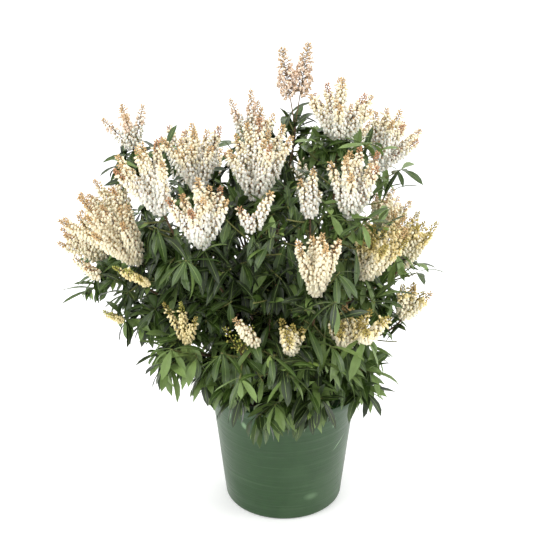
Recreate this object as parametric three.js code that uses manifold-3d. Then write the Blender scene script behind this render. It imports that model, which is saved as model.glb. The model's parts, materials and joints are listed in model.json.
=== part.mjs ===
// A pieris shrub in flower, in a round nursery pot. Millimetres, +Z up.
// The origin is at the centre of the pot's flat underside, -Y is the plant's front and +X its right.
// The pot and its soil carry a short trunk. Boughs fork from the trunk or from each other, and each
// tip holds one or two masses of foliage: a stem with side shoots, whorls of leaves and flower heads.
import * as THREE from "three";
import { mergeVertices } from "three/addons/utils/BufferGeometryUtils.js";
import Module from "manifold-3d";

const wasm = await Module();
wasm.setup();

// ---- Driving dimensions ------------------------------------------------------------------------
const GAP = 0.3; // clearance between pieces that touch
const CELL_GAP = 0.6; // clearance between two masses of foliage
const MERGE = 0.1; // points nearer than this are one

const POT = {
  height: 262,
  baseRadius: 115,
  bodyRadius: 142, // outside, just under the lip
  lipRadius: 165,
  lipDrop: 15, // how far the lip's outer edge turns down
  wall: 2.6,
  floor: 4,
  corner: 7, // rounding between the wall and the underside
  sides: 32,
};
const DRAIN = { count: 6, radius: 6, ring: 84, sides: 8 }; // holes through the pot's floor
const SOIL = { depthBelowRim: 24, flatRadius: 34, edgeDrop: 4 };
const TRUNK = { footRadius: 27, waistRadius: 19, crownRadius: 22, height: 62, lobes: 5, lean: -5, sides: 15 };
const BOUGH = { trunkRadius: 7.5, forkRadius: 6, tipRadius: 4.4, sides: 5, steps: 4 };
const STEM = { radius: 2.1, tipRadius: 1.8, pairOffset: 2.4, sides: 4, steps: 3 };
const SHOOT = { length: 78, radius: 1.4, tipRadius: 1.2, sides: 3, steps: 1 };
const NODE = { head: 6, shoot: 5 }; // the swelling or bud that a whorl's leaves and racemes grow from
const LEAF = { length: 78, width: 18, thickness: 1.7 };
const RACEME = { radius: 14.5, sides: 4 };
const TIP_REACH = 0.62; // where a bough ends, as a share of the way from the trunk to its masses

// The boughs. "from" is the trunk or an earlier bough, and "at" how far along that bough it forks.
const BOUGHS = [
  { name: "bough_top", from: "trunk" },
  { name: "bough_upper_left", from: "trunk" },
  { name: "bough_upper_right", from: "trunk" },
  { name: "bough_left", from: "trunk" },
  { name: "bough_right", from: "trunk" },
  { name: "bough_front", from: "trunk" },
  { name: "bough_back", from: "trunk" },
  { name: "bough_back_left", from: "trunk" },
  { name: "bough_back_right", from: "trunk" },
  { name: "bough_front_top", from: "bough_top", at: 0.5 },
  { name: "bough_back_top", from: "bough_top", at: 0.62 },
  { name: "bough_front_left", from: "bough_upper_left", at: 0.45 },
  { name: "bough_front_right", from: "bough_upper_right", at: 0.45 },
  { name: "bough_far_left", from: "bough_left", at: 0.42 },
  { name: "bough_left_low", from: "bough_left", at: 0.3 },
  { name: "bough_right_low", from: "bough_right", at: 0.35 },
  { name: "bough_front_low", from: "bough_front", at: 0.4 },
  { name: "bough_front_middle", from: "bough_front", at: 0.3 },
  { name: "bough_back_low", from: "bough_back", at: 0.35 },
];

// The masses of foliage. A head's place is its azimuth (0 is +X, -90 the front), its reach from the
// pot's axis and its height. It leans outwards from the vertical. "racemes" is how many spires of
// flowers it has, of about "length" each, spread by "spread" from its axis and first turned by
// "fanTurn": with none, the head has leaves only. "sides" is how many side shoots the stem has, the
// first of them "turn" degrees round the stem, and with a "sideLength" that one flowers too. "room" is
// how much space the mass claims against its neighbours.
const MASSES = [
  { name: "spires_top", bough: "bough_top", azimuth: -28, reach: 21, height: 755, lean: 0,
    racemes: 2, length: 148, spread: 0.18, sides: 2, turn: 234, room: 80, fanTurn: -62 },
  { name: "spires_top_left", bough: "bough_top", azimuth: -164, reach: 59, height: 722, lean: 3,
    racemes: 4, length: 102, spread: 0.5, sides: 2, turn: 160, room: 75 },
  { name: "head_front_top", bough: "bough_front_top", azimuth: -108, reach: 149, height: 670, lean: 4,
    racemes: 7, length: 142, spread: 0.62, sides: 2, turn: 138, room: 105 },
  { name: "head_front_small", bough: "bough_front_top", azimuth: -102, reach: 245, height: 653, lean: 10,
    racemes: 2, length: 70, spread: 0.6, sides: 2, turn: -60, room: 80 },
  { name: "head_upper_left", bough: "bough_upper_left", azimuth: -140, reach: 188, height: 680, lean: 8,
    racemes: 6, length: 108, spread: 0.6, sides: 2, turn: 164, room: 95 },
  { name: "head_outer_left", bough: "bough_upper_left", azimuth: -177, reach: 267, height: 716, lean: 12,
    racemes: 5, length: 84, spread: 0.6, sides: 2, turn: 210, room: 85 },
  { name: "head_front_left", bough: "bough_front_left", azimuth: -119, reach: 275, height: 626, lean: 10,
    racemes: 6, length: 122, spread: 0.66, sides: 2, turn: 80, room: 100 },
  { name: "leaves_left_middle", bough: "bough_front_left", azimuth: -126, reach: 226, height: 488, lean: 40,
    racemes: 0, length: 0, spread: 0, sides: 3, turn: 92, room: 85 },
  { name: "head_left", bough: "bough_left", azimuth: -147, reach: 295, height: 565, lean: 34,
    racemes: 7, length: 158, spread: 0.46, sides: 2, turn: 308, room: 110, sideLength: 66 },
  { name: "head_far_left", bough: "bough_far_left", azimuth: -171, reach: 326, height: 521, lean: 44,
    racemes: 6, length: 108, spread: 0.5, sides: 2, turn: 200, room: 100, sideLength: 62 },
  { name: "leaves_far_left", bough: "bough_far_left", azimuth: -168, reach: 250, height: 420, lean: 34,
    racemes: 0, length: 60, spread: 0.5, sides: 3, turn: 288, room: 90, sideLength: 44 },
  { name: "head_front_right", bough: "bough_front_right", azimuth: -77, reach: 185, height: 653, lean: 4,
    racemes: 3, length: 80, spread: 0.3, sides: 2, turn: 200, room: 80 },
  { name: "head_right_front", bough: "bough_front_right", azimuth: -57, reach: 202, height: 648, lean: 6,
    racemes: 6, length: 122, spread: 0.5, sides: 2, turn: -20, room: 95 },
  { name: "head_upper_right", bough: "bough_upper_right", azimuth: -34, reach: 110, height: 750, lean: 5,
    racemes: 7, length: 104, spread: 0.95, sides: 2, turn: 72, room: 95, fanTurn: 25 },
  { name: "head_outer_right", bough: "bough_upper_right", azimuth: 5, reach: 166, height: 671, lean: 25,
    racemes: 6, length: 112, spread: 0.6, sides: 2, turn: 144, room: 95 },
  { name: "head_right", bough: "bough_right", azimuth: -44, reach: 191, height: 523, lean: 26,
    racemes: 6, length: 130, spread: 0.5, sides: 2, turn: 288, room: 100 },
  { name: "head_far_right", bough: "bough_right", azimuth: -4, reach: 216, height: 493, lean: 16,
    racemes: 6, length: 106, spread: 0.5, sides: 2, turn: 102, room: 95 },
  { name: "head_right_under", bough: "bough_right_low", azimuth: -11, reach: 224, height: 401, lean: 20,
    racemes: 4, length: 76, spread: 0.5, sides: 2, turn: 336, room: 90 },
  { name: "leaves_right_low", bough: "bough_right_low", azimuth: -50, reach: 192, height: 352, lean: 66,
    racemes: 0, length: 0, spread: 0, sides: 3, turn: 216, room: 85 },
  { name: "head_front", bough: "bough_front", azimuth: -79, reach: 263, height: 547, lean: 10,
    racemes: 5, length: 112, spread: 0.42, sides: 3, turn: 0, room: 95 },
  { name: "head_front_under", bough: "bough_front", azimuth: -65, reach: 243, height: 436, lean: 14,
    racemes: 6, length: 72, spread: 0.75, sides: 2, turn: 300, room: 90, sideLength: 60 },
  { name: "head_centre_low", bough: "bough_front_low", azimuth: -88, reach: 268, height: 448, lean: 14,
    racemes: 4, length: 54, spread: 0.6, sides: 2, turn: -90, room: 75 },
  { name: "leaves_front_low", bough: "bough_front_low", azimuth: -88, reach: 218, height: 336, lean: 50,
    racemes: 0, length: 0, spread: 0, sides: 3, turn: 56, room: 85 },
  { name: "buds_centre", bough: "bough_front_middle", azimuth: -106, reach: 265, height: 436, lean: 12,
    racemes: 3, length: 66, spread: 0.5, sides: 2, turn: 288, room: 75, sideLength: 76 },
  { name: "leaves_front_middle", bough: "bough_front_middle", azimuth: -94, reach: 206, height: 540, lean: 32,
    racemes: 0, length: 0, spread: 0, sides: 3, turn: 244, room: 80 },
  { name: "head_left_low", bough: "bough_left_low", azimuth: -128, reach: 271, height: 436, lean: 14,
    racemes: 3, length: 84, spread: 0.55, sides: 2, turn: 144, room: 85 },
  { name: "leaves_left_low", bough: "bough_left_low", azimuth: -110, reach: 222, height: 380, lean: 60,
    racemes: 0, length: 0, spread: 0, sides: 3, turn: 288, room: 85 },
  { name: "head_back_top", bough: "bough_back_top", azimuth: 112, reach: 135, height: 650, lean: 6,
    racemes: 5, length: 96, spread: 0.6, sides: 1, turn: 0, room: 95 },
  { name: "head_back_upper_left", bough: "bough_back_top", azimuth: 150, reach: 215, height: 612, lean: 18,
    racemes: 5, length: 110, spread: 0.6, sides: 1, turn: 180, room: 95 },
  { name: "head_back_left", bough: "bough_back_left", azimuth: 163, reach: 308, height: 530, lean: 42,
    racemes: 5, length: 108, spread: 0.6, sides: 2, turn: 0, room: 100 },
  { name: "head_back_left_low", bough: "bough_back_left", azimuth: 150, reach: 262, height: 376, lean: 60,
    racemes: 3, length: 62, spread: 0.6, sides: 2, turn: 0, room: 95 },
  { name: "head_back_centre", bough: "bough_back", azimuth: 122, reach: 276, height: 545, lean: 28,
    racemes: 5, length: 112, spread: 0.6, sides: 2, turn: 90, room: 100 },
  { name: "head_back", bough: "bough_back", azimuth: 82, reach: 268, height: 525, lean: 28,
    racemes: 5, length: 108, spread: 0.6, sides: 2, turn: -90, room: 100 },
  { name: "head_back_right", bough: "bough_back_right", azimuth: 40, reach: 246, height: 480, lean: 28,
    racemes: 5, length: 100, spread: 0.6, sides: 2, turn: 0, room: 100 },
  { name: "head_back_upper_right", bough: "bough_back_right", azimuth: 52, reach: 190, height: 640, lean: 16,
    racemes: 5, length: 108, spread: 0.6, sides: 2, turn: 0, room: 95 },
  { name: "head_back_low", bough: "bough_back_low", azimuth: 104, reach: 250, height: 360, lean: 62,
    racemes: 3, length: 60, spread: 0.6, sides: 1, turn: 0, room: 95 },
  { name: "leaves_back_low", bough: "bough_back_low", azimuth: 58, reach: 236, height: 348, lean: 66,
    racemes: 0, length: 0, spread: 0, sides: 3, turn: 0, room: 95 },
  { name: "head_left_upper", bough: "bough_left", azimuth: -137, reach: 276, height: 664, lean: 26,
    racemes: 5, length: 132, spread: 0.5, sides: 2, turn: 180, room: 95 },
];

const COLOURS = {
  pot: { color: 0x4a6b49, roughness: 0.45, metalness: 0 },
  soil: { color: 0x2e221a, roughness: 0.95, metalness: 0 },
  bark: { color: 0x6b5644, roughness: 0.85, metalness: 0 },
  leaves: { color: 0x3f5a2c, roughness: 0.45, metalness: 0 },
  heads: { color: 0xd9c9a4, roughness: 0.7, metalness: 0 },
};

// ---- Numbers that repeat the same way each time ---------------------------------------------------
// The mulberry32 generator: a short seeded rule, so that the plant grows alike on every build.
function seededRandom(seed) {
  let state = seed | 0;
  return () => {
    state = (state + 0x6d2b79f5) | 0;
    let t = Math.imul(state ^ (state >>> 15), 1 | state);
    t = (t + Math.imul(t ^ (t >>> 7), 61 | t)) ^ t;
    return ((t ^ (t >>> 14)) >>> 0) / 4294967296;
  };
}

const radians = THREE.MathUtils.degToRad;
const up = new THREE.Vector3(0, 0, 1);

function polar(azimuth, reach, height) {
  const a = radians(azimuth);
  return new THREE.Vector3(reach * Math.cos(a), reach * Math.sin(a), height);
}

// ---- Solids ------------------------------------------------------------------------------------
function toSolid(geometry) {
  const bare = new THREE.BufferGeometry().setAttribute("position", geometry.getAttribute("position").clone());
  bare.setIndex(geometry.index ? geometry.index.clone() : null);
  const merged = mergeVertices(bare, 1e-3);
  return new wasm.Manifold(
    new wasm.Mesh({
      numProp: 3,
      vertProperties: new Float32Array(merged.attributes.position.array),
      triVerts: new Uint32Array(merged.index.array),
    }),
  );
}

function toGeometry(solid) {
  const mesh = solid.getMesh();
  const geometry = new THREE.BufferGeometry();
  geometry.setAttribute("position", new THREE.BufferAttribute(new Float32Array(mesh.vertProperties), 3));
  geometry.setIndex(new THREE.BufferAttribute(new Uint32Array(mesh.triVerts), 1));
  return geometry;
}

// One clean body: close points are joined, and the scraps and sealed hollows of a join are dropped.
function oneBody(solid) {
  const settled = toSolid(toGeometry(solid.simplify(MERGE)));
  const bodies = settled.decompose();
  return bodies.reduce((best, body) => (body.volume() > best.volume() ? body : best));
}

// A tapering limb: a cylinder whose rings are moved on to a curve.
function limb(curve, startRadius, endRadius, sides, steps) {
  const geometry = new THREE.CylinderGeometry(1, 1, 1, sides, steps);
  const frames = curve.computeFrenetFrames(steps, false);
  const place = geometry.getAttribute("position");
  for (let i = 0; i < place.count; i++) {
    const ring = Math.round((place.getY(i) + 0.5) * steps);
    const radius = THREE.MathUtils.lerp(startRadius, endRadius, ring / steps);
    const point = curve
      .getPoint(ring / steps)
      .addScaledVector(frames.normals[ring], place.getX(i) * radius)
      .addScaledVector(frames.binormals[ring], -place.getZ(i) * radius);
    place.setXYZ(i, point.x, point.y, point.z);
  }
  return toSolid(geometry);
}

// A round solid from a profile of [radius, height] pairs, which starts and ends on the axis.
function turned(profile, sides) {
  const points = profile.map(([radius, height]) => new THREE.Vector2(radius, height));
  const geometry = new THREE.LatheGeometry(points, sides);
  geometry.rotateX(Math.PI / 2);
  return geometry;
}

// ---- Pot, soil and trunk -------------------------------------------------------------------------
const wallTop = POT.height - 10; // where the wall runs into the lip

function outerRadiusAt(height) {
  const share = (height - POT.corner) / (wallTop - POT.corner);
  return THREE.MathUtils.lerp(POT.baseRadius, POT.bodyRadius, share);
}

function innerRadiusAt(height) {
  return outerRadiusAt(height) - POT.wall;
}

function potGeometry() {
  const lipUnder = POT.height - 6;
  const lipFoot = POT.height - POT.lipDrop;
  const innerLip = POT.lipRadius - POT.wall - 1;
  return turned(
    [
      [0, 0],
      [POT.baseRadius - POT.corner, 0],
      [POT.baseRadius - POT.corner * 0.3, POT.corner * 0.3],
      [POT.baseRadius, POT.corner],
      [POT.bodyRadius, wallTop],
      [innerLip, lipUnder],
      [innerLip, lipFoot],
      [POT.lipRadius - 1, lipFoot],
      [POT.lipRadius, POT.height - 3],
      [POT.lipRadius - 4, POT.height],
      [innerRadiusAt(POT.height) + 3, POT.height],
      [innerRadiusAt(POT.height - 3), POT.height - 3],
      [innerRadiusAt(POT.floor + 4), POT.floor + 4],
      [innerRadiusAt(POT.floor + 4) - 4, POT.floor],
      [0, POT.floor],
    ],
    POT.sides,
  );
}

// The pot's turned shell with its drain holes.
function potSolid() {
  const drills = [];
  for (let k = 0; k < DRAIN.count; k++) {
    const drill = new THREE.CylinderGeometry(DRAIN.radius, DRAIN.radius, POT.floor * 3, DRAIN.sides);
    drill.rotateX(Math.PI / 2);
    const { x, y } = polar((360 * k) / DRAIN.count, DRAIN.ring, 0);
    drill.translate(x, y, POT.floor / 2);
    drills.push(toSolid(drill));
  }
  return toSolid(potGeometry()).subtract(wasm.Manifold.union(drills));
}

const soilTop = POT.height - SOIL.depthBelowRim;

function soilGeometry() {
  const foot = POT.floor + GAP;
  const corner = POT.floor + 4 + GAP;
  const edge = soilTop - SOIL.edgeDrop;
  return turned(
    [
      [0, foot],
      [innerRadiusAt(corner) - 4 - GAP * 2, foot],
      [innerRadiusAt(corner) - GAP * 2, corner],
      [innerRadiusAt(edge) - GAP * 2, edge],
      [SOIL.flatRadius * 2, soilTop - 1],
      [SOIL.flatRadius, soilTop],
      [0, soilTop],
    ],
    POT.sides,
  );
}

// Where the boughs leave the trunk: the middle of its crown.
const fork = new THREE.Vector3(TRUNK.lean, 0, soilTop + TRUNK.height - TRUNK.crownRadius);

// The trunk stands on the soil with a lobed root flare, narrows, and swells where the boughs fork.
function trunkGeometry(grown) {
  const foot = soilTop + GAP;
  const crown = TRUNK.height - TRUNK.crownRadius - GAP;
  const profile = [
    [0, 0],
    [TRUNK.footRadius, 0],
    [TRUNK.footRadius * 0.88, 5],
    [TRUNK.waistRadius, 18],
  ];
  for (let angle = -30; angle <= 70; angle += 25) {
    const a = radians(angle);
    profile.push([TRUNK.crownRadius * Math.cos(a), crown + TRUNK.crownRadius * Math.sin(a)]);
  }
  profile.push([0, crown + TRUNK.crownRadius]);
  const geometry = turned(profile, TRUNK.sides);
  const place = geometry.getAttribute("position");
  for (let i = 0; i < place.count; i++) {
    const radius = Math.hypot(place.getX(i), place.getY(i));
    const around = Math.atan2(place.getY(i), place.getX(i));
    const rise = place.getZ(i) / TRUNK.height;
    const flare = 1 + 0.16 * Math.max(0, 1 - rise * 2.4) * Math.cos(TRUNK.lobes * around);
    const wide = radius > 0.01 ? (radius * flare + grown) / radius : 1;
    const lift = radius > 0.01 || rise < 0.5 ? 0 : grown;
    place.setXYZ(
      i,
      place.getX(i) * wide + TRUNK.lean * rise,
      place.getY(i) * wide,
      place.getZ(i) + foot + lift,
    );
  }
  return geometry;
}

// ---- Where everything grows ------------------------------------------------------------------------
// A mass's head: its centre, the way it points, and two directions across that.
function headOf(mass) {
  const centre = polar(mass.azimuth, mass.reach, mass.height);
  const axis = polar(mass.azimuth, Math.sin(radians(mass.lean)), Math.cos(radians(mass.lean)));
  const across = new THREE.Vector3().crossVectors(up, polar(mass.azimuth, 1, 0));
  const over = new THREE.Vector3().crossVectors(axis, across);
  const middle = centre.clone().addScaledVector(axis, mass.length * 0.3);
  return { centre, axis, across, over, middle };
}

// A bough rises from its fork and ends short of the masses that it carries.
function boughCurve(start, startWay, masses) {
  const aim = new THREE.Vector3();
  const endWay = new THREE.Vector3();
  for (const mass of masses) {
    aim.addScaledVector(mass.head.centre, 1 / masses.length);
    endWay.add(mass.head.axis);
  }
  const tip = fork.clone().lerp(aim, TIP_REACH);
  const run = tip.distanceTo(start);
  endWay.normalize().add(aim.clone().sub(tip).normalize()).normalize();
  return new THREE.CubicBezierCurve3(
    start.clone(),
    start.clone().addScaledVector(startWay, run * 0.36),
    tip.clone().addScaledVector(endWay, -run * 0.3),
    tip,
  );
}

function growBoughs(masses) {
  const boughs = new Map();
  for (const entry of BOUGHS) {
    const carried = masses.filter((mass) => mass.bough === entry.name);
    const aim = new THREE.Vector3();
    carried.forEach((mass) => aim.addScaledVector(mass.head.centre, 1 / carried.length));
    const parent = boughs.get(entry.from);
    const start = parent ? parent.curve.getPoint(entry.at) : fork.clone();
    const lead = parent ? parent.curve.getTangent(entry.at) : up;
    const outward = aim.clone().sub(start).normalize();
    outward.addScaledVector(lead, parent ? 0.5 : 0.35).normalize();
    const curve = boughCurve(start, outward, carried);
    const startRadius = parent ? BOUGH.forkRadius : BOUGH.trunkRadius;
    boughs.set(entry.name, { ...entry, curve, startRadius, carried });
  }
  return boughs;
}

// A mass's stem starts just clear of its bough's tip, beside its partner if the bough carries two.
function stemCurve(mass, bough) {
  const tip = bough.curve.getPoint(1);
  const way = bough.curve.getTangent(1);
  const aside = mass.head.centre.clone().sub(tip);
  if (bough.carried.length > 1) {
    const partner = bough.carried.find((other) => other !== mass);
    aside.sub(partner.head.centre.clone().sub(tip));
  }
  aside.addScaledVector(way, -aside.dot(way)).normalize();
  const offset = bough.carried.length > 1 ? STEM.pairOffset : 0;
  const start = tip.clone().addScaledVector(way, GAP).addScaledVector(aside, offset);
  const run = start.distanceTo(mass.head.centre);
  return new THREE.CubicBezierCurve3(
    start,
    start.clone().addScaledVector(way, run * 0.3),
    mass.head.centre.clone().addScaledVector(mass.head.axis, -run * 0.32),
    mass.head.centre.clone(),
  );
}

// How far a point lies inside a mass's own space: the planes that part it from each neighbour.
function roomAt(point, mass, masses) {
  let room = Infinity;
  for (const other of masses) {
    if (other === mass) continue;
    const way = other.head.middle.clone().sub(mass.head.middle);
    const apart = way.length();
    const share = (apart * apart + mass.room * mass.room - other.room * other.room) / (2 * apart);
    const along = point.clone().sub(mass.head.middle).dot(way) / apart;
    room = Math.min(room, share - along);
  }
  return room;
}

const POT_CLEARANCE = 6; // how far foliage stays from the pot
function clearOfPot(point) {
  const radius = Math.hypot(point.x, point.y);
  return point.z > POT.height + POT_CLEARANCE || radius > POT.lipRadius + POT_CLEARANCE;
}

function clearOfLimbs(points, limbs, clearance) {
  return limbs.every(({ line, radius }) =>
    line.every((on) => points.every((point) => point.distanceTo(on) > radius + clearance)),
  );
}

// The side shoots of a mass. Each tries a few ways round the stem and takes the first that stays in
// the mass's own space and clear of the pot and the boughs; one that finds none isn't grown.
const SHOOT_TRIES = 12;
function growShoots(mass, masses, limbs) {
  const random = seededRandom(mass.seed);
  const shoots = [];
  for (let k = 0; k < mass.sides; k++) {
    const share = 0.42 + (0.42 * (k + random() * 0.6)) / mass.sides;
    const base = mass.stem.getPoint(share);
    const reach = SHOOT.length * (0.85 + 0.35 * random());
    for (let attempt = 0; attempt < SHOOT_TRIES; attempt++) {
      const turn = radians(mass.turn + k * 137.5 + attempt * 47 + 20 * (random() - 0.5));
      const way = mass.head.axis.clone().multiplyScalar(0.5 + 0.3 * random());
      way.addScaledVector(mass.head.across, Math.cos(turn)).addScaledVector(mass.head.over, Math.sin(turn));
      way.normalize();
      const tip = base.clone().addScaledVector(way, reach * (1 - 0.03 * attempt));
      tip.z += reach * 0.12;
      const half = base.clone().lerp(tip, 0.5);
      half.z -= reach * 0.05;
      const inside = roomAt(tip, mass, masses) > 10 && roomAt(half, mass, masses) > 4;
      const beyond = tip.clone().addScaledVector(way, LEAF.length * 0.3);
      if (!inside || !clearOfPot(beyond) || !clearOfPot(half)) continue;
      if (!clearOfLimbs([tip, half], limbs.filter((other) => other.owner !== mass), 7)) continue;
      const curve = new THREE.QuadraticBezierCurve3(base, half, tip);
      shoots.push({ curve, axis: way, flowers: shoots.length === 0 && mass.sideLength > 0 });
      break;
    }
  }
  return shoots;
}

// The racemes of a head: one on its axis and the others fanned round it, or two side by side, all
// turned up a little.
function growRacemes(mass, centre, axis, count, length, random) {
  const { across, over } = mass.head;
  const ring = count > 2 ? count - 1 : count;
  const racemes = [];
  for (let k = 0; k < count; k++) {
    const tilt = k === 0 && count > 2 ? 0.06 : mass.spread * (0.85 + 0.3 * random());
    const turn = radians(mass.fanTurn) + (2 * Math.PI * (k + 0.2 * random())) / ring;
    const way = axis.clone().addScaledVector(across, tilt * Math.cos(turn));
    way.addScaledVector(over, tilt * Math.sin(turn)).addScaledVector(up, 0.12).normalize();
    const run = length * (k === 0 ? 1 : 0.82 + 0.22 * random());
    racemes.push({ base: centre.clone(), way, length: run });
  }
  return racemes;
}

// ---- Foliage solids ----------------------------------------------------------------------------------
// A leaf of six faces: widest past its middle, arched, flat above and keeled along its midrib.
function leafGeometry(base, way, length, width) {
  const side = new THREE.Vector3().crossVectors(up, way).normalize();
  const top = new THREE.Vector3().crossVectors(way, side).normalize();
  const geometry = new THREE.SphereGeometry(1, 3, 2);
  const place = geometry.getAttribute("position");
  for (let i = 0; i < place.count; i++) {
    const [along, aside, rise] = [place.getY(i), place.getZ(i) / 0.866, place.getX(i)];
    const share = along < -0.5 ? 0 : along > 0.5 ? 1 : 0.56;
    const arch = along < -0.5 ? 0 : along > 0.5 ? -0.1 * length : 0.02 * length;
    const point = base
      .clone()
      .addScaledVector(way, share * length)
      .addScaledVector(side, (aside * width) / 2)
      .addScaledVector(top, arch + (rise * LEAF.thickness) / 1.5);
    place.setXYZ(i, point.x, point.y, point.z);
  }
  return geometry;
}

// The ways that a whorl's leaves point: all round the shoot, the upper ones more upright, all drooping.
function whorlWays(axis, across, over, count, random) {
  const ways = [];
  const first = random() * 2 * Math.PI;
  for (let k = 0; k < count; k++) {
    const turn = first + (2 * Math.PI * (k + 0.3 * (random() - 0.5))) / count;
    const lift = 0.3 * (k % 2) - 0.1 * random();
    const way = axis.clone().multiplyScalar(lift);
    way.addScaledVector(across, Math.cos(turn)).addScaledVector(over, Math.sin(turn));
    way.z -= 0.14 + 0.18 * random();
    ways.push(way.normalize());
  }
  return ways;
}

// A raceme: a spindle, widest below its middle.
function racemeSolid(base, way, length) {
  const radius = RACEME.radius * Math.min(1, 0.6 + length / 260);
  const profile = [
    [0, 0],
    [radius, length * 0.44],
    [0, length],
  ];
  const geometry = turned(profile, RACEME.sides);
  geometry.applyQuaternion(new THREE.Quaternion().setFromUnitVectors(up, way));
  geometry.translate(base.x, base.y, base.z);
  return toSolid(geometry);
}

// How many leaves a whorl has: under a head, under a full head, and at the tip of a side shoot, with
// the fewest that a side shoot keeps. A full head has at least so many racemes.
const WHORL = { head: 5, fullHead: 4, shoot: 4, fewest: 2 };
const FULL_HEAD = 5;
const SIDE_RACEMES = 3; // on a side shoot that flowers
const ROOT_REACH = { leaf: 8, raceme: 75 }; // how far from its root each may run into what is there
const SIZES = [1, 0.84, 0.7, 0.58]; // a leaf or raceme that doesn't fit is tried smaller

function swelling(centre, radius) {
  return toSolid(new THREE.OctahedronGeometry(radius).translate(centre.x, centre.y, centre.z));
}

function bud(centre, radius) {
  return toSolid(new THREE.TetrahedronGeometry(radius).translate(centre.x, centre.y, centre.z));
}

function cornersOf(solid) {
  const place = solid.getMesh().vertProperties;
  const corners = [];
  for (let i = 0; i < place.length; i += 3) {
    corners.push(new THREE.Vector3(place[i], place[i + 1], place[i + 2]));
  }
  return corners;
}

// One mass of foliage: stem, side shoots, leaves and racemes joined into one solid.
function massSolid(mass, masses, obstacles) {
  const random = seededRandom(mass.seed + 500);
  const { centre, axis, across, over } = mass.head;

  // A leaf or raceme is left out where it would leave the mass's own space, touch the wood or the pot,
  // or run into the rest of the mass beyond its root.
  const fits = (solid, root, reach, body) => {
    if (cornersOf(solid).some((corner) => roomAt(corner, mass, masses) < CELL_GAP)) return false;
    if (!solid.intersect(obstacles).isEmpty()) return false;
    const shared = solid.intersect(wasm.Manifold.union(body));
    return cornersOf(shared).every((corner) => corner.distanceTo(root) < reach);
  };
  const grow = (sprig, body, root, reach, make) => {
    for (const size of SIZES) {
      const solid = make(size);
      if (!fits(solid, root, reach, [...body, ...sprig])) continue;
      sprig.push(solid);
      return;
    }
  };
  const growLeaves = (sprig, body, root, ways) => {
    for (const way of ways) {
      const length = LEAF.length * (0.82 + 0.3 * random());
      const width = LEAF.width * (0.85 + 0.3 * random());
      const make = (size) => toSolid(leafGeometry(root, way, length * size, width * size));
      grow(sprig, body, root, ROOT_REACH.leaf, make);
    }
  };
  const growSpires = (sprig, body, spires) => {
    for (const { base, way, length } of spires) {
      const make = (size) => racemeSolid(base, way, length * size);
      grow(sprig, body, base, ROOT_REACH.raceme, make);
    }
  };

  const body = [
    limb(mass.stem, STEM.radius, STEM.tipRadius, STEM.sides, STEM.steps),
    swelling(centre, NODE.head),
  ];
  growSpires(body, [], mass.spires);
  const leaves = mass.racemes < FULL_HEAD ? WHORL.head : WHORL.fullHead;
  growLeaves(body, [], centre, whorlWays(axis, across, over, leaves, random));
  for (const shoot of mass.shoots) {
    const tip = shoot.curve.getPoint(1);
    const twig = limb(shoot.curve, SHOOT.radius, SHOOT.tipRadius, SHOOT.sides, SHOOT.steps);
    const sprig = [twig, bud(tip, NODE.shoot)];
    growSpires(sprig, body, shoot.spires);
    const bare = sprig.length;
    growLeaves(sprig, body, tip, whorlWays(shoot.axis, across, over, WHORL.shoot, random));
    const leafy = sprig.length - bare >= WHORL.fewest;
    if (leafy && twig.intersect(obstacles).isEmpty()) body.push(...sprig);
  }
  return oneBody(wasm.Manifold.union(body));
}

// ---- The plant ----------------------------------------------------------------------------------------
const plant = new THREE.Group();

function addPiece(name, geometry, look) {
  const mesh = new THREE.Mesh(geometry, new THREE.MeshStandardMaterial(look));
  mesh.name = name;
  plant.add(mesh);
  return mesh;
}

addPiece("pot", toGeometry(potSolid()), COLOURS.pot);
addPiece("soil", soilGeometry(), COLOURS.soil);
addPiece("trunk", trunkGeometry(0), COLOURS.bark);

const masses = MASSES.map((entry, index) => {
  return { sideLength: 0, fanTurn: 0, ...entry, seed: 101 + index * 17, head: headOf(entry) };
});
const boughs = growBoughs(masses);
for (const mass of masses) mass.stem = stemCurve(mass, boughs.get(mass.bough));

const limbs = [];
for (const bough of boughs.values()) {
  limbs.push({ owner: bough, line: bough.curve.getPoints(24), radius: bough.startRadius });
}
for (const mass of masses) {
  limbs.push({ owner: mass, line: mass.stem.getPoints(16), radius: STEM.radius });
}

for (const mass of masses) {
  const random = seededRandom(mass.seed + 250);
  const { centre, axis } = mass.head;
  mass.shoots = growShoots(mass, masses, limbs);
  mass.spires = growRacemes(mass, centre, axis, mass.racemes, mass.length, random);
  for (const shoot of mass.shoots) {
    const raised = shoot.axis.clone().add(axis).normalize();
    const count = shoot.flowers ? SIDE_RACEMES : 0;
    shoot.spires = growRacemes(mass, shoot.curve.getPoint(1), raised, count, mass.sideLength, random);
  }
}

// Each bough is cut clear of the trunk and of the boughs before it, so forks fit with a hairline gap.
const potAndSoil = toSolid(potGeometry()).add(toSolid(soilGeometry()));
let wood = toSolid(trunkGeometry(GAP));
for (const bough of boughs.values()) {
  const whole = limb(bough.curve, bough.startRadius, BOUGH.tipRadius, BOUGH.sides, BOUGH.steps);
  const shape = oneBody(whole.subtract(wood));
  addPiece(bough.name, toGeometry(shape), COLOURS.bark);
  const grown = limb(bough.curve, bough.startRadius + GAP, BOUGH.tipRadius + GAP, BOUGH.sides, BOUGH.steps);
  wood = wood.add(grown);
}

for (const mass of masses) {
  const stems = masses
    .filter((other) => other !== mass)
    .map(({ stem }) => limb(stem, STEM.radius + GAP, STEM.tipRadius + GAP, STEM.sides, STEM.steps));
  const obstacles = wasm.Manifold.union([wood, potAndSoil, ...stems]);
  const solid = massSolid(mass, masses, obstacles);
  addPiece(mass.name, toGeometry(solid), mass.racemes > 0 ? COLOURS.heads : COLOURS.leaves);
}

export default plant;
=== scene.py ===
"""A pieris shrub in flower, in a round nursery pot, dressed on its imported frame.

The plant is grown in millimetres by the same seeded rule as the solids, with -Y its front and +X its
right, and carried on to finer shoots, leaves and bells. Every mesh is written in metres.
"""

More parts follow.
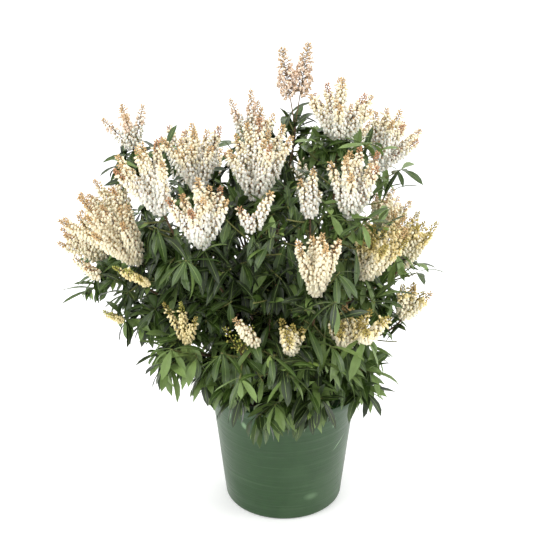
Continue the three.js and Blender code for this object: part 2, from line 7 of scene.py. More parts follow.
import json
import logging
import math
from collections import defaultdict
from collections.abc import Callable, Sequence
from dataclasses import dataclass, field
from enum import Enum

import bmesh
import bpy
import numpy as np
from bmesh.types import BMesh
from bpy.types import Material, Mesh, Node, NodeSocket, Object
from mathutils import Matrix, Vector, noise
from numpy.random import Generator, default_rng

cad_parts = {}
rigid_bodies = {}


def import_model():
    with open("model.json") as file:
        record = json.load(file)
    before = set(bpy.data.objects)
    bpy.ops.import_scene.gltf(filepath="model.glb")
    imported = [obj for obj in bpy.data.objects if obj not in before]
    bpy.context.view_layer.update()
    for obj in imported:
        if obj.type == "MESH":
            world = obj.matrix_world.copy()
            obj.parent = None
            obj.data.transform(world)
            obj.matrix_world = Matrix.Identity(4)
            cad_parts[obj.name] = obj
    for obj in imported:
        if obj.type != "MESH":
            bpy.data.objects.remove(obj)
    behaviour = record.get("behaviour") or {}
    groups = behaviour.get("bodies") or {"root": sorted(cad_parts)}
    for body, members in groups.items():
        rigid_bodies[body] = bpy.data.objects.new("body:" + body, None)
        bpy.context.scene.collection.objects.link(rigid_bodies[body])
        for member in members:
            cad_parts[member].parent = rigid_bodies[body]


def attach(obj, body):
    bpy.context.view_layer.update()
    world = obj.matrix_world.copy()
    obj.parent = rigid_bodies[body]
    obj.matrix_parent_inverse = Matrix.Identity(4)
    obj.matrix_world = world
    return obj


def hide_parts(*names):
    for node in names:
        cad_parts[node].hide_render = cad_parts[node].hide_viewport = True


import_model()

log = logging.getLogger("pieris")

MM = 0.001
UP = np.array([0.0, 0.0, 1.0])
ASIDE_UP = UP + np.array([0.01, 0, 0])  # leans, so that no upright twig lies along it
SLANT = np.array([0.3, 0.2, 1.0])
GOLDEN_DEGREES = 137.5
GOLDEN_TURN = math.radians(GOLDEN_DEGREES)
FULL_TURN = 2 * math.pi
MOST_FACES = 190_000  # triangles in one joined piece
FIRST_SEED, SEED_STEP = 101, 17
HEAD_SEED, LEAF_SEED, FLOWER_SEED, SPUR_SEED = 250, 900, 1300, 7000
POT_HEIGHT, LIP_RADIUS, SOIL_TOP, GAP = 262.0, 165.0, 238.0, 0.3  # millimetres
Array = np.ndarray
Pair = tuple[float, float]
Place = tuple[float, float, float]
Colour = tuple[float, ...]


# ---- Numbers and directions --------------------------------------------------------------------
class SeededRandom:
    """The mulberry32 generator, so that the twigs fall where the solids' twigs are."""

    def __init__(self, seed: int) -> None:
        """Starts the sequence at a seed."""
        self.state = seed & 0xFFFFFFFF

    @staticmethod
    def _product(a: int, b: int) -> int:
        """The low 32 bits of a product."""
        return ((a & 0xFFFFFFFF) * (b & 0xFFFFFFFF)) & 0xFFFFFFFF

    def __call__(self) -> float:
        """The next number, from 0 up to 1."""
        self.state = (self.state + 0x6D2B79F5) & 0xFFFFFFFF
        t = self._product(self.state ^ (self.state >> 15), 1 | self.state)
        t = ((t + self._product(t ^ (t >> 7), 61 | t)) ^ t) & 0xFFFFFFFF
        return (t ^ (t >> 14)) / 4294967296

    def between(self, low: float, high: float) -> float:
        """The next number, from low up to high."""
        return low + (high - low) * self()


def unit(way: Array) -> Array:
    """A vector, or each row of several, at length 1."""
    return way / np.maximum(np.linalg.norm(way, axis=-1, keepdims=True), 1e-12)


def polar(azimuth: float, reach: float, height: float) -> Array:
    """A point from its azimuth in degrees, its distance from the pot's axis and its height."""
    a = math.radians(azimuth)
    return np.array([reach * math.cos(a), reach * math.sin(a), height])


def across_ways(way: Array, up: Array) -> tuple[Array, Array]:
    """Two ways square to a direction and to each other, the first of them square to an upward one too."""
    across = unit(np.cross(way, up))
    return across, np.cross(way, across)


def noise_round(around: float, width: float, height: float) -> float:
    """Smooth noise without a seam, read at an angle round a cylinder so wide and at a height."""
    return noise.noise(Vector((math.cos(around) * width, math.sin(around) * width, height)))


def linear(red: int, green: int, blue: int) -> Colour:
    """A colour given in display values from 0 to 255, as the shader's linear colour."""
    shares = [v / 255 for v in (red, green, blue)]
    return (*[s / 12.92 if s <= 0.04045 else ((s + 0.055) / 1.055) ** 2.4 for s in shares], 1.0)


@dataclass(frozen=True)
class Curve:
    """A Bezier curve of three or four control points."""

    controls: tuple[Array, ...]

    def point(self, share: float) -> Array:
        """The point at a share of the curve's parameter.

        Args:
            share: The parameter, from 0 to 1.

        Returns:
            The point.
        """
        k = 1 - share
        if len(self.controls) == 3:
            a, b, c = self.controls
            return a * k * k + b * (2 * k * share) + c * (share * share)
        a, b, c, d = self.controls
        return a * k**3 + b * (3 * k * k * share) + c * (3 * k * share**2) + d * share**3

    def way(self, share: float) -> Array:
        """The direction of travel at a share of the curve."""
        return unit(self.point(min(share + 1e-4, 1.0)) - self.point(max(share - 1e-4, 0.0)))

    def points(self, steps: int) -> Array:
        """Points along the curve, one more than its steps."""
        return np.array([self.point(i / steps) for i in range(steps + 1)])


# ---- The plant's plan --------------------------------------------------------------------------
class Bloom(Enum):
    """How far a head's flowers have come, which sets their colours."""

    WHITE = "white"
    CREAM = "cream"
    GOLD = "gold"
    YELLOW = "yellow"
    BLUSH = "blush"
    TALL = "tall"
    GREEN = "green"
    NONE = "none"


@dataclass(frozen=True)
class BoughPlan:
    """One bough: its name without the word bough, what it forks from and how far along that."""

    name: str
    parent: str = "trunk"
    at: float = 0.0


BOUGHS = (
    BoughPlan("top"),
    BoughPlan("upper_left"),
    BoughPlan("upper_right"),
    BoughPlan("left"),
    BoughPlan("right"),
    BoughPlan("front"),
    BoughPlan("back"),
    BoughPlan("back_left"),
    BoughPlan("back_right"),
    BoughPlan("front_top", "top", 0.5),
    BoughPlan("back_top", "top", 0.62),
    BoughPlan("front_left", "upper_left", 0.45),
    BoughPlan("front_right", "upper_right", 0.45),
    BoughPlan("far_left", "left", 0.42),
    BoughPlan("left_low", "left", 0.3),
    BoughPlan("right_low", "right", 0.35),
    BoughPlan("front_low", "front", 0.4),
    BoughPlan("front_middle", "front", 0.3),
    BoughPlan("back_low", "back", 0.35),
)


@dataclass
class Mass:
    """One mass of foliage, placed by its head, and all that is grown for it.

    The head's place is its azimuth, reach and height, and it leans outwards. It has so many racemes of
    about one length, spread so far from its axis, so many side shoots, the first turned so far round the
    stem, and claims some room. With a side length, the first side shoot flowers too. Its leaves hang no
    further below the head than its hem. plan_masses deals its number and seed.
    """

    name: str
    bough: str
    place: Place
    lean: float
    racemes: int
    length: float
    spread: float
    sides: int
    turn: float
    room: float
    bloom: Bloom
    side_length: float = 0
    side_bloom: Bloom | None = None
    fan_turn: float = 0
    hem: float = math.inf
    number: int = 0
    seed: int = 0
    shoots: list["Shoot"] = field(default_factory=list)
    spires: list["Spire"] = field(default_factory=list)

    def __post_init__(self) -> None:
        """Works out the head: its centre, the way it points and two ways across."""
        azimuth, reach, height = self.place
        a = math.radians(self.lean)
        self.centre = polar(azimuth, reach, height)
        self.axis = polar(azimuth, math.sin(a), math.cos(a))
        self.across = np.cross(UP, polar(azimuth, 1, 0))
        self.over = np.cross(self.axis, self.across)
        self.middle = self.centre + self.axis * self.length * 0.3

    def face_neighbours(self, masses: Sequence["Mass"]) -> None:
        """Sets the planes that part this mass's space from each neighbour's.

        Args:
            masses: Every mass of the plant.
        """
        ways = np.array([other.middle - self.middle for other in masses if other is not self])
        rooms = np.array([other.room for other in masses if other is not self])
        apart = np.linalg.norm(ways, axis=1)
        self.plane_ways = ways / apart[:, None]
        self.plane_shares = (apart**2 + self.room**2 - rooms**2) / (2 * apart)

    def side_spires(self) -> list["Spire"]:
        """The racemes on its side shoots."""
        return [spire for shoot in self.shoots for spire in shoot.spires]

    def room_at(self, points: Array) -> Array:
        """How far each point lies inside the mass's own space.

        Args:
            points: Rows of places.

        Returns:
            One distance for each row, negative outside.
        """
        along = (np.atleast_2d(points) - self.middle) @ self.plane_ways.T
        return (self.plane_shares - along).min(axis=1)


@dataclass
class Shoot:
    """A side shoot: its curve, the way its tip points, and its flowers."""

    curve: Curve
    axis: Array
    flowers: bool = False
    spires: list["Spire"] = field(default_factory=list)


@dataclass
class Spire:
    """One raceme: where it starts, the way it points and its length."""

    base: Array
    way: Array
    length: float

    def points(self, start: float, count: int) -> Array:
        """So many points along the raceme's line, from a share of its length to its tip."""
        return self.base + np.linspace(start, 1, count)[:, None] * (self.way * self.length)


def plan_masses() -> list[Mass]:
    """The masses of foliage, in the order that their seeds are dealt.

    Returns:
        Each mass with its seed, not yet grown.
    """
    white, cream, gold, yellow = Bloom.WHITE, Bloom.CREAM, Bloom.GOLD, Bloom.YELLOW
    blush, tall, green, none = Bloom.BLUSH, Bloom.TALL, Bloom.GREEN, Bloom.NONE
    masses = [
        Mass("spires_top", "top", (-28, 21, 755), 0, 2, 148, 0.18, 2, 234, 80, tall, fan_turn=-62),
        Mass("spires_top_left", "top", (-164, 59, 722), 3, 4, 102, 0.5, 2, 160, 75, blush),
        Mass("head_front_top", "front_top", (-108, 149, 670), 4, 7, 142, 0.62, 2, 138, 105, white),
        Mass("head_front_small", "front_top", (-102, 245, 653), 10, 2, 70, 0.6, 2, -60, 80, white),
        Mass("head_upper_left", "upper_left", (-140, 188, 680), 8, 6, 108, 0.6, 2, 164, 95, white),
        Mass("head_outer_left", "upper_left", (-177, 267, 716), 12, 5, 84, 0.6, 2, 210, 85, blush),
        Mass("head_front_left", "front_left", (-119, 275, 626), 10, 6, 122, 0.66, 2, 80, 100, white),
        Mass("leaves_left_middle", "front_left", (-126, 226, 488), 40, 0, 0, 0, 3, 92, 85, none),
        Mass("head_left", "left", (-147, 295, 565), 34, 7, 158, 0.46, 2, 308, 110, cream, 66, yellow),
        Mass("head_far_left", "far_left", (-171, 326, 521), 44, 6, 108, 0.5, 2, 200, 100, cream, 62),
        Mass(
            "leaves_far_left", "far_left", (-168, 250, 420), 34, 0, 60, 0.5, 3, 288, 90,
            none, 44, yellow, hem=64,
        ),
        Mass("head_front_right", "front_right", (-77, 185, 653), 4, 3, 80, 0.3, 2, 200, 80, white),
        Mass("head_right_front", "front_right", (-57, 202, 648), 6, 6, 122, 0.5, 2, -20, 95, white),
        Mass(
            "head_upper_right", "upper_right", (-34, 110, 750), 5, 7, 104, 0.95, 2, 72, 95,
            white, fan_turn=25,
        ),
        Mass("head_outer_right", "upper_right", (5, 166, 671), 25, 6, 112, 0.6, 2, 144, 95, white, hem=32),
        Mass("head_right", "right", (-44, 191, 523), 26, 6, 130, 0.5, 2, 288, 100, gold),
        Mass("head_far_right", "right", (-4, 216, 493), 16, 6, 106, 0.5, 2, 102, 95, gold),
        Mass("head_right_under", "right_low", (-11, 224, 401), 20, 4, 76, 0.5, 2, 336, 90, gold, hem=24),
        Mass("leaves_right_low", "right_low", (-50, 192, 352), 66, 0, 0, 0, 3, 216, 85, none),
        Mass("head_front", "front", (-79, 263, 547), 10, 5, 112, 0.42, 3, 0, 95, cream),
        Mass("head_front_under", "front", (-65, 243, 436), 14, 6, 72, 0.75, 2, 300, 90, gold, 60),
        Mass("head_centre_low", "front_low", (-88, 268, 448), 14, 4, 54, 0.6, 2, -90, 75, gold),
        Mass("leaves_front_low", "front_low", (-88, 218, 336), 50, 0, 0, 0, 3, 56, 85, none),
        Mass("buds_centre", "front_middle", (-106, 265, 436), 12, 3, 66, 0.5, 2, 288, 75, green, 76, cream),
        Mass("leaves_front_middle", "front_middle", (-94, 206, 540), 32, 0, 0, 0, 3, 244, 80, none),
        Mass("head_left_low", "left_low", (-128, 271, 436), 14, 3, 84, 0.55, 2, 144, 85, yellow),
        Mass("leaves_left_low", "left_low", (-110, 222, 380), 60, 0, 0, 0, 3, 288, 85, none),
        Mass("head_back_top", "back_top", (112, 135, 650), 6, 5, 96, 0.6, 1, 0, 95, white),
        Mass("head_back_upper_left", "back_top", (150, 215, 612), 18, 5, 110, 0.6, 1, 180, 95, white),
        Mass("head_back_left", "back_left", (163, 308, 530), 42, 5, 108, 0.6, 2, 0, 100, cream),
        Mass("head_back_left_low", "back_left", (150, 262, 376), 60, 3, 62, 0.6, 2, 0, 95, yellow),
        Mass("head_back_centre", "back", (122, 276, 545), 28, 5, 112, 0.6, 2, 90, 100, white),
        Mass("head_back", "back", (82, 268, 525), 28, 5, 108, 0.6, 2, -90, 100, white),
        Mass("head_back_right", "back_right", (40, 246, 480), 28, 5, 100, 0.6, 2, 0, 100, cream),
        Mass("head_back_upper_right", "back_right", (52, 190, 640), 16, 5, 108, 0.6, 2, 0, 95, white),
        Mass("head_back_low", "back_low", (104, 250, 360), 62, 3, 60, 0.6, 1, 0, 95, cream),
        Mass("leaves_back_low", "back_low", (58, 236, 348), 66, 0, 0, 0, 3, 0, 95, none),
        Mass("head_left_upper", "left", (-137, 276, 664), 26, 5, 132, 0.5, 2, 180, 95, white),
    ]
    for number, mass in enumerate(masses):
        mass.number, mass.seed = number, FIRST_SEED + number * SEED_STEP
        mass.face_neighbours(masses)
    return masses


@dataclass
class Limbs:
    """Points along every bough and stem, for keeping leaves and twigs off them."""

    lines: list[Array] = field(default_factory=list)
    radii: list[Array] = field(default_factory=list)
    owners: list[Array] = field(default_factory=list)

    def add(self, owner: int, line: Array, radius: float) -> None:
        """Adds one limb: its owner's number, the points along it and its radius."""
        self.lines.append(line)
        self.radii.append(np.full(len(line), radius))
        self.owners.append(np.full(len(line), owner))

    def close(self) -> None:
        """Joins what was added into three flat arrays."""
        self.all_points = np.concatenate(self.lines)
        self.all_radii = np.concatenate(self.radii)
        self.all_owners = np.concatenate(self.owners)

    def clear(self, points: Array, mass: Mass, clearance: float) -> bool:
        """Says whether points keep off every limb but a mass's own stem.

        Args:
            points: Rows of places.
            mass: The mass whose stem doesn't count.
            clearance: The least distance from a limb's side.

        Returns:
            True if every point is clear.
        """
        other = self.all_owners != mass.number
        apart = np.linalg.norm(points[:, None] - self.all_points[None, other], axis=2)
        return bool((apart > self.all_radii[other] + clearance).all())


@dataclass
class Bough:
    """One grown bough, and the masses that it carries."""

    curve: Curve
    start_radius: float
    carried: list[Mass]


@dataclass
class Skeleton:
    """The boughs, stems, side shoots and racemes, placed by the solids' own rule."""

    gap: float = GAP
    pot_height: float = POT_HEIGHT
    lip_radius: float = LIP_RADIUS
    pot_clearance: float = 6.0
    soil_top: float = SOIL_TOP
    trunk_lean: float = -5.0
    trunk_height: float = 62.0
    crown_radius: float = 22.0
    trunk_bough_radius: float = 7.5
    fork_radius: float = 6.0
    stem_radius: float = 2.1
    pair_offset: float = 2.4
    tip_reach: float = 0.62
    shoot_length: float = 78.0
    shoot_tries: int = 12
    shoot_start: float = 0.42
    shoot_span: float = 0.42
    try_turn: float = 47.0
    tip_room: float = 10.0
    half_room: float = 4.0
    limb_clearance: float = 7.0
    leaf_length: float = 78.0
    side_racemes: int = 3
    bough_points: int = 24
    stem_points: int = 16

    def __post_init__(self) -> None:
        """Grows everything."""
        self.fork = np.array([self.trunk_lean, 0, self.soil_top + self.trunk_height - self.crown_radius])
        self.masses = plan_masses()
        self.boughs: dict[str, Bough] = {}
        self.grow_boughs()
        for mass in self.masses:
            mass.stem = self.stem_curve(mass)
        self.limbs = Limbs()
        for number, bough in enumerate(self.boughs.values()):
            self.limbs.add(-1 - number, bough.curve.points(self.bough_points), bough.start_radius)
        for mass in self.masses:
            self.limbs.add(mass.number, mass.stem.points(self.stem_points), self.stem_radius)
        self.limbs.close()
        for mass in self.masses:
            self.grow_shoots(mass)
            self.grow_heads(mass)

    def grow_boughs(self) -> None:
        """Grows each bough from the trunk's fork or from an earlier bough."""
        for plan in BOUGHS:
            carried = [mass for mass in self.masses if mass.bough == plan.name]
            aim = sum(mass.centre for mass in carried) / len(carried)
            parent = self.boughs.get(plan.parent)
            start = parent.curve.point(plan.at) if parent else self.fork
            lead = parent.curve.way(plan.at) if parent else UP
            outward = unit(unit(aim - start) + lead * (0.5 if parent else 0.35))
            tip = self.fork + (aim - self.fork) * self.tip_reach
            run = float(np.linalg.norm(tip - start))
            end_way = unit(unit(sum(mass.axis for mass in carried)) + unit(aim - tip))
            curve = Curve((start, start + outward * run * 0.36, tip - end_way * run * 0.3, tip))
            radius = self.fork_radius if parent else self.trunk_bough_radius
            self.boughs[plan.name] = Bough(curve, radius, carried)

    def stem_curve(self, mass: Mass) -> Curve:
        """A mass's stem, from just clear of its bough's tip to its head.

        Args:
            mass: The mass that the stem carries.

        Returns:
            The stem's curve.
        """
        bough = self.boughs[mass.bough]
        tip, way = bough.curve.point(1.0), bough.curve.way(1.0)
        aside = mass.centre - tip
        partners = [other for other in bough.carried if other is not mass]
        if partners:
            aside = aside - (partners[0].centre - tip)
        aside = unit(aside - way * float(aside @ way))
        start = tip + way * self.gap + aside * (self.pair_offset if partners else 0)
        run = float(np.linalg.norm(mass.centre - start))
        return Curve((start, start + way * run * 0.3, mass.centre - mass.axis * run * 0.32, mass.centre))

    def clear_of_pot(self, points: Array) -> bool:
        """Says whether every point is above the pot's rim or outside its lip.

        Args:
            points: Rows of places, or one place.

        Returns:
            True if they all are.
        """
        points = np.atleast_2d(points)
        above = points[:, 2] > self.pot_height + self.pot_clearance
        outside = np.hypot(points[:, 0], points[:, 1]) > self.lip_radius + self.pot_clearance
        return bool((above | outside).all())

    def grow_shoots(self, mass: Mass) -> None:
        """Grows the side shoots of one mass, each where the first of a few tries fits.

        Args:
            mass: The mass to grow them on.
        """
        random = SeededRandom(mass.seed)
        for k in range(mass.sides):
            share = self.shoot_start + (self.shoot_span * (k + random() * 0.6)) / mass.sides
            base = mass.stem.point(share)
            reach = self.shoot_length * (0.85 + 0.35 * random())
            for attempt in range(self.shoot_tries):
                wander = 20 * (random() - 0.5)
                turn = math.radians(mass.turn + k * GOLDEN_DEGREES + attempt * self.try_turn + wander)
                way = mass.axis * (0.5 + 0.3 * random())
                way = unit(way + mass.across * math.cos(turn) + mass.over * math.sin(turn))
                tip = base + way * (reach * (1 - 0.03 * attempt)) + UP * (reach * 0.12)
                half = (base + tip) / 2 - UP * (reach * 0.05)
                beyond = tip + way * self.leaf_length * 0.3
                if (
                    mass.room_at(tip)[0] > self.tip_room
                    and mass.room_at(half)[0] > self.half_room
                    and self.clear_of_pot(np.array([beyond, half]))
                    and self.limbs.clear(np.array([tip, half]), mass, self.limb_clearance)
                ):
                    flowers = not mass.shoots and mass.side_length > 0
                    mass.shoots.append(Shoot(Curve((base, half, tip)), way, flowers))
                    break

    def grow_heads(self, mass: Mass) -> None:
        """Sets the racemes of a mass and of its side shoots that flower.

        Args:
            mass: The mass, with its shoots grown.
        """
        random = SeededRandom(mass.seed + HEAD_SEED)
        mass.spires = self.fan(mass, mass.centre, mass.axis, mass.racemes, mass.length, random)
        for shoot in mass.shoots:
            count = self.side_racemes if shoot.flowers else 0
            tip, raised = shoot.curve.point(1), unit(shoot.axis + mass.axis)
            shoot.spires = self.fan(mass, tip, raised, count, mass.side_length, random)

    @staticmethod
    def fan(
        mass: Mass, centre: Array, axis: Array, count: int, length: float, random: SeededRandom
    ) -> list[Spire]:
        """A fan of racemes: one on the axis and the others round it, or two side by side, all turned up.

        Args:
            mass: The mass whose ways across are used.
            centre: Where the racemes start.
            axis: The way that the first one points.
            count: How many there are.
            length: The length of the first.
            random: The head's own sequence.

        Returns:
            The racemes.
        """
        spires = []
        ring = count - 1 if count > 2 else count
        for k in range(count):
            tilt = 0.06 if k == 0 and count > 2 else mass.spread * (0.85 + 0.3 * random())
            turn = math.radians(mass.fan_turn) + (FULL_TURN * (k + 0.2 * random())) / ring
            way = axis + mass.across * (tilt * math.cos(turn)) + mass.over * (tilt * math.sin(turn))
            run = length * (1 if k == 0 else 0.82 + 0.22 * random())
            spires.append(Spire(centre, unit(way + UP * 0.12), run))
        return spires


# ---- Shapes that are joined by the hundred -------------------------------------------------------
@dataclass(frozen=True)
class Stamp:
    """A small closed shape of triangles that is pressed many times into one mesh."""

    corners: Array
    faces: Array
    creases: Array

    @classmethod
    def read(cls, shape: BMesh, crease: Callable[[Vector, Vector], bool] | None = None) -> "Stamp":
        """Reads a stamp from a mesh being edited, which is then freed.

        Args:
            shape: The closed shape.
            crease: Says of two corners whether the edge between them stays sharp.

        Returns:
            The stamp.
        """
        bmesh.ops.recalc_face_normals(shape, faces=shape.faces)
        bmesh.ops.triangulate(shape, faces=shape.faces)
        shape.verts.index_update()
        corners = np.array([v.co for v in shape.verts])
        faces = np.array([[v.index for v in f.verts] for f in shape.faces])
        creases = np.zeros((len(corners), len(corners)), bool)
        for edge in shape.edges:
            a, b = edge.verts
            if crease and crease(a.co, b.co):
                creases[a.index, b.index] = creases[b.index, a.index] = True
        shape.free()
        return cls(corners, faces, creases)

    def press(self, origins: Array, frames: Array, sizes: Array) -> Array:
        """Places copies of the stamp.

        Args:
            origins: Where each copy's own origin goes, one row each.
            frames: Each copy's three axes, as rows.
            sizes: Each copy's scale, one for all its axes or one for each.

        Returns:
            The corners of every copy.
        """
        grown = self.corners[None] * (sizes[:, None] if sizes.ndim == 2 else sizes[:, None, None])
        return origins[:, None] + np.einsum("nvk,nkc->nvc", grown, frames)

    def mesh(self, name: str, places: Array) -> Mesh:
        """Writes placed copies as one mesh, in metres.

        Args:
            name: The mesh's name.
            places: The corners of every copy, in millimetres.

        Returns:
            The mesh.
        """
        count, corners = len(places), len(self.corners)
        loops = (self.faces[None] + (np.arange(count) * corners)[:, None, None]).reshape(-1)
        mesh = bpy.data.meshes.new(name)
        mesh.vertices.add(count * corners)
        mesh.vertices.foreach_set("co", (places * MM).astype(np.float32).reshape(-1))
        mesh.loops.add(len(loops))
        mesh.loops.foreach_set("vertex_index", loops.astype(np.int32))
        mesh.polygons.add(len(loops) // 3)
        mesh.polygons.foreach_set("loop_start", np.arange(0, len(loops), 3, dtype=np.int32))
        mesh.polygons.foreach_set("use_smooth", np.ones(len(loops) // 3, bool))
        mesh.update(calc_edges=True)
        if self.creases.any():
            ends = np.empty(len(mesh.edges) * 2, np.int32)
            mesh.edges.foreach_get("vertices", ends)
            ends = ends.reshape(-1, 2) % corners
            mesh.edges.foreach_set("use_edge_sharp", self.creases[ends[:, 0], ends[:, 1]])
        return mesh


def turned(profile: Sequence[Pair], sides: int) -> BMesh:
    """A round shape turned about Z.

    Args:
        profile: (radius, height) pairs.
        sides: How many sides the round has.

    Returns:
        The shape, with its seam and poles closed.
    """
    shape = bmesh.new()
    points = [shape.verts.new((radius, 0.0, height)) for radius, height in profile]
    edges = [shape.edges.new(pair) for pair in zip(points, points[1:])]
    bmesh.ops.spin(
        shape, geom=points + edges, axis=(0, 0, 1), cent=(0, 0, 0), steps=sides, angle=FULL_TURN,
        use_merge=True,
    )
    bmesh.ops.remove_doubles(shape, verts=shape.verts, dist=1e-5)
    bmesh.ops.recalc_face_normals(shape, faces=shape.faces)
    return shape


def upright_tube(sides: int, steps: int) -> BMesh:
    """An upright closed tube, one unit in radius and height.

    Args:
        sides: How many sides it has.
        steps: How many lengths it is parted into.

    Returns:
        The tube.
    """
    shape = bmesh.new()
    bmesh.ops.create_cone(
        shape, cap_ends=True, segments=sides, radius1=1, radius2=1, depth=1,
        matrix=Matrix.Translation((0, 0, 0.5)),
    )
    long_edges = [e for e in shape.edges if abs(e.verts[0].co.z - e.verts[1].co.z) > 0.5]
    if steps > 1:
        bmesh.ops.subdivide_edges(shape, edges=long_edges, cuts=steps - 1)
    return shape


def carried_frames(line: Array) -> tuple[Array, Array]:
    """Two ways across at each point of a line, carried along it without twist.

    Args:
        line: Points along the line.

    Returns:
        The two ways, one row a point.
    """
    ways = unit(np.gradient(line, axis=0))
    start = np.cross(ways[0], UP)
    if np.linalg.norm(start) < 0.05:
        start = np.cross(ways[0], np.array([1.0, 0, 0]))
    sides = [unit(start)]
    for way in ways[1:]:
        sides.append(unit(sides[-1] - way * float(sides[-1] @ way)))
    first = np.array(sides)
    return first, np.cross(ways, first)


def along_line(corners: Array, line: Array, radii: Array) -> Array:
    """Moves an upright tube's corners on to a line.

    Args:
        corners: The tube's corners, as upright_tube makes them.
        line: Points along the line, one more than the tube's steps.
        radii: The radius at each point, or at each corner.

    Returns:
        The moved corners.
    """
    ring = np.rint(corners[:, 2] * (len(line) - 1)).astype(int)
    first, second = carried_frames(line)
    wide = (radii[ring] if len(radii) == len(line) else radii)[:, None]
    return line[ring] + (first[ring] * corners[:, :1] + second[ring] * corners[:, 1:2]) * wide


def facing_frames(ways: Array, turns: Array) -> Array:
    """Axes for copies that point along given ways.

    Args:
        ways: The way that each copy's own Z points.
        turns: How far each is turned about it.

    Returns:
        Three axes a copy, as rows.
    """
    level = np.cross(ways, UP)
    flat = np.linalg.norm(level, axis=1) < 1e-3
    level[flat] = np.array([1.0, 0, 0])
    level = unit(level)
    other = np.cross(ways, level)
    cos, sin = np.cos(turns)[:, None], np.sin(turns)[:, None]
    x = level * cos + other * sin
    return np.stack([x, np.cross(ways, x), ways], axis=1)


@dataclass
class Heap:
    """Placed copies of one stamp, all in one finish, and the solids' nodes that they stand for."""

    stamp: Stamp
    places: list[Array] = field(default_factory=list)
    nodes: set[str] = field(default_factory=set)

    def add(self, places: Array, node: str) -> None:
        """Adds copies that stand for a node."""
        if len(places):
            self.places.append(places)
            self.nodes.add(node)

    def dress(self, name: str, material: Material, slot: str) -> None:
        """Writes the heap as joined pieces, each of a size that the export keeps whole.

        Args:
            name: The piece's name, numbered where there are several.
            material: The finish.
            slot: Not used.
        """
        if self.places:
            every = np.concatenate(self.places)
            parts = math.ceil(len(every) / (MOST_FACES // len(self.stamp.faces)))
            for number, share in enumerate(np.array_split(every, parts)):
                title = name if parts == 1 else f"{name}_{number + 1}"
                piece = set_piece(title, self.stamp.mesh(title, share), material)
                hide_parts(*sorted(self.nodes))


def set_piece(name: str, mesh: Mesh, material: Material) -> Object:
    """Puts a finished mesh in the scene, dressed and riding on the part's one body.

    Args:
        name: The piece's name.
        mesh: Its mesh, in place and in metres.
        material: Its finish.

    Returns:
        The piece.
    """
    piece = bpy.data.objects.new(name, mesh)
    bpy.context.scene.collection.objects.link(piece)
    mesh.materials.append(material)
    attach(piece, "root")
    log.info("%s: %d faces", name, len(mesh.polygons))
    return piece


def mesh_of(shape: BMesh, name: str, smooth: bool = True) -> Mesh:
    """Writes a shape being edited in millimetres as a mesh in metres, and frees it.

    Args:
        shape: The shape.
        name: The mesh's name.
        smooth: Whether its faces are shaded smooth.

    Returns:
        The mesh.
    """
    bmesh.ops.scale(shape, vec=(MM, MM, MM), verts=shape.verts)
    for face in shape.faces:
        face.smooth = smooth
    mesh = bpy.data.meshes.new(name)
    shape.to_mesh(mesh)
    shape.free()
    return mesh


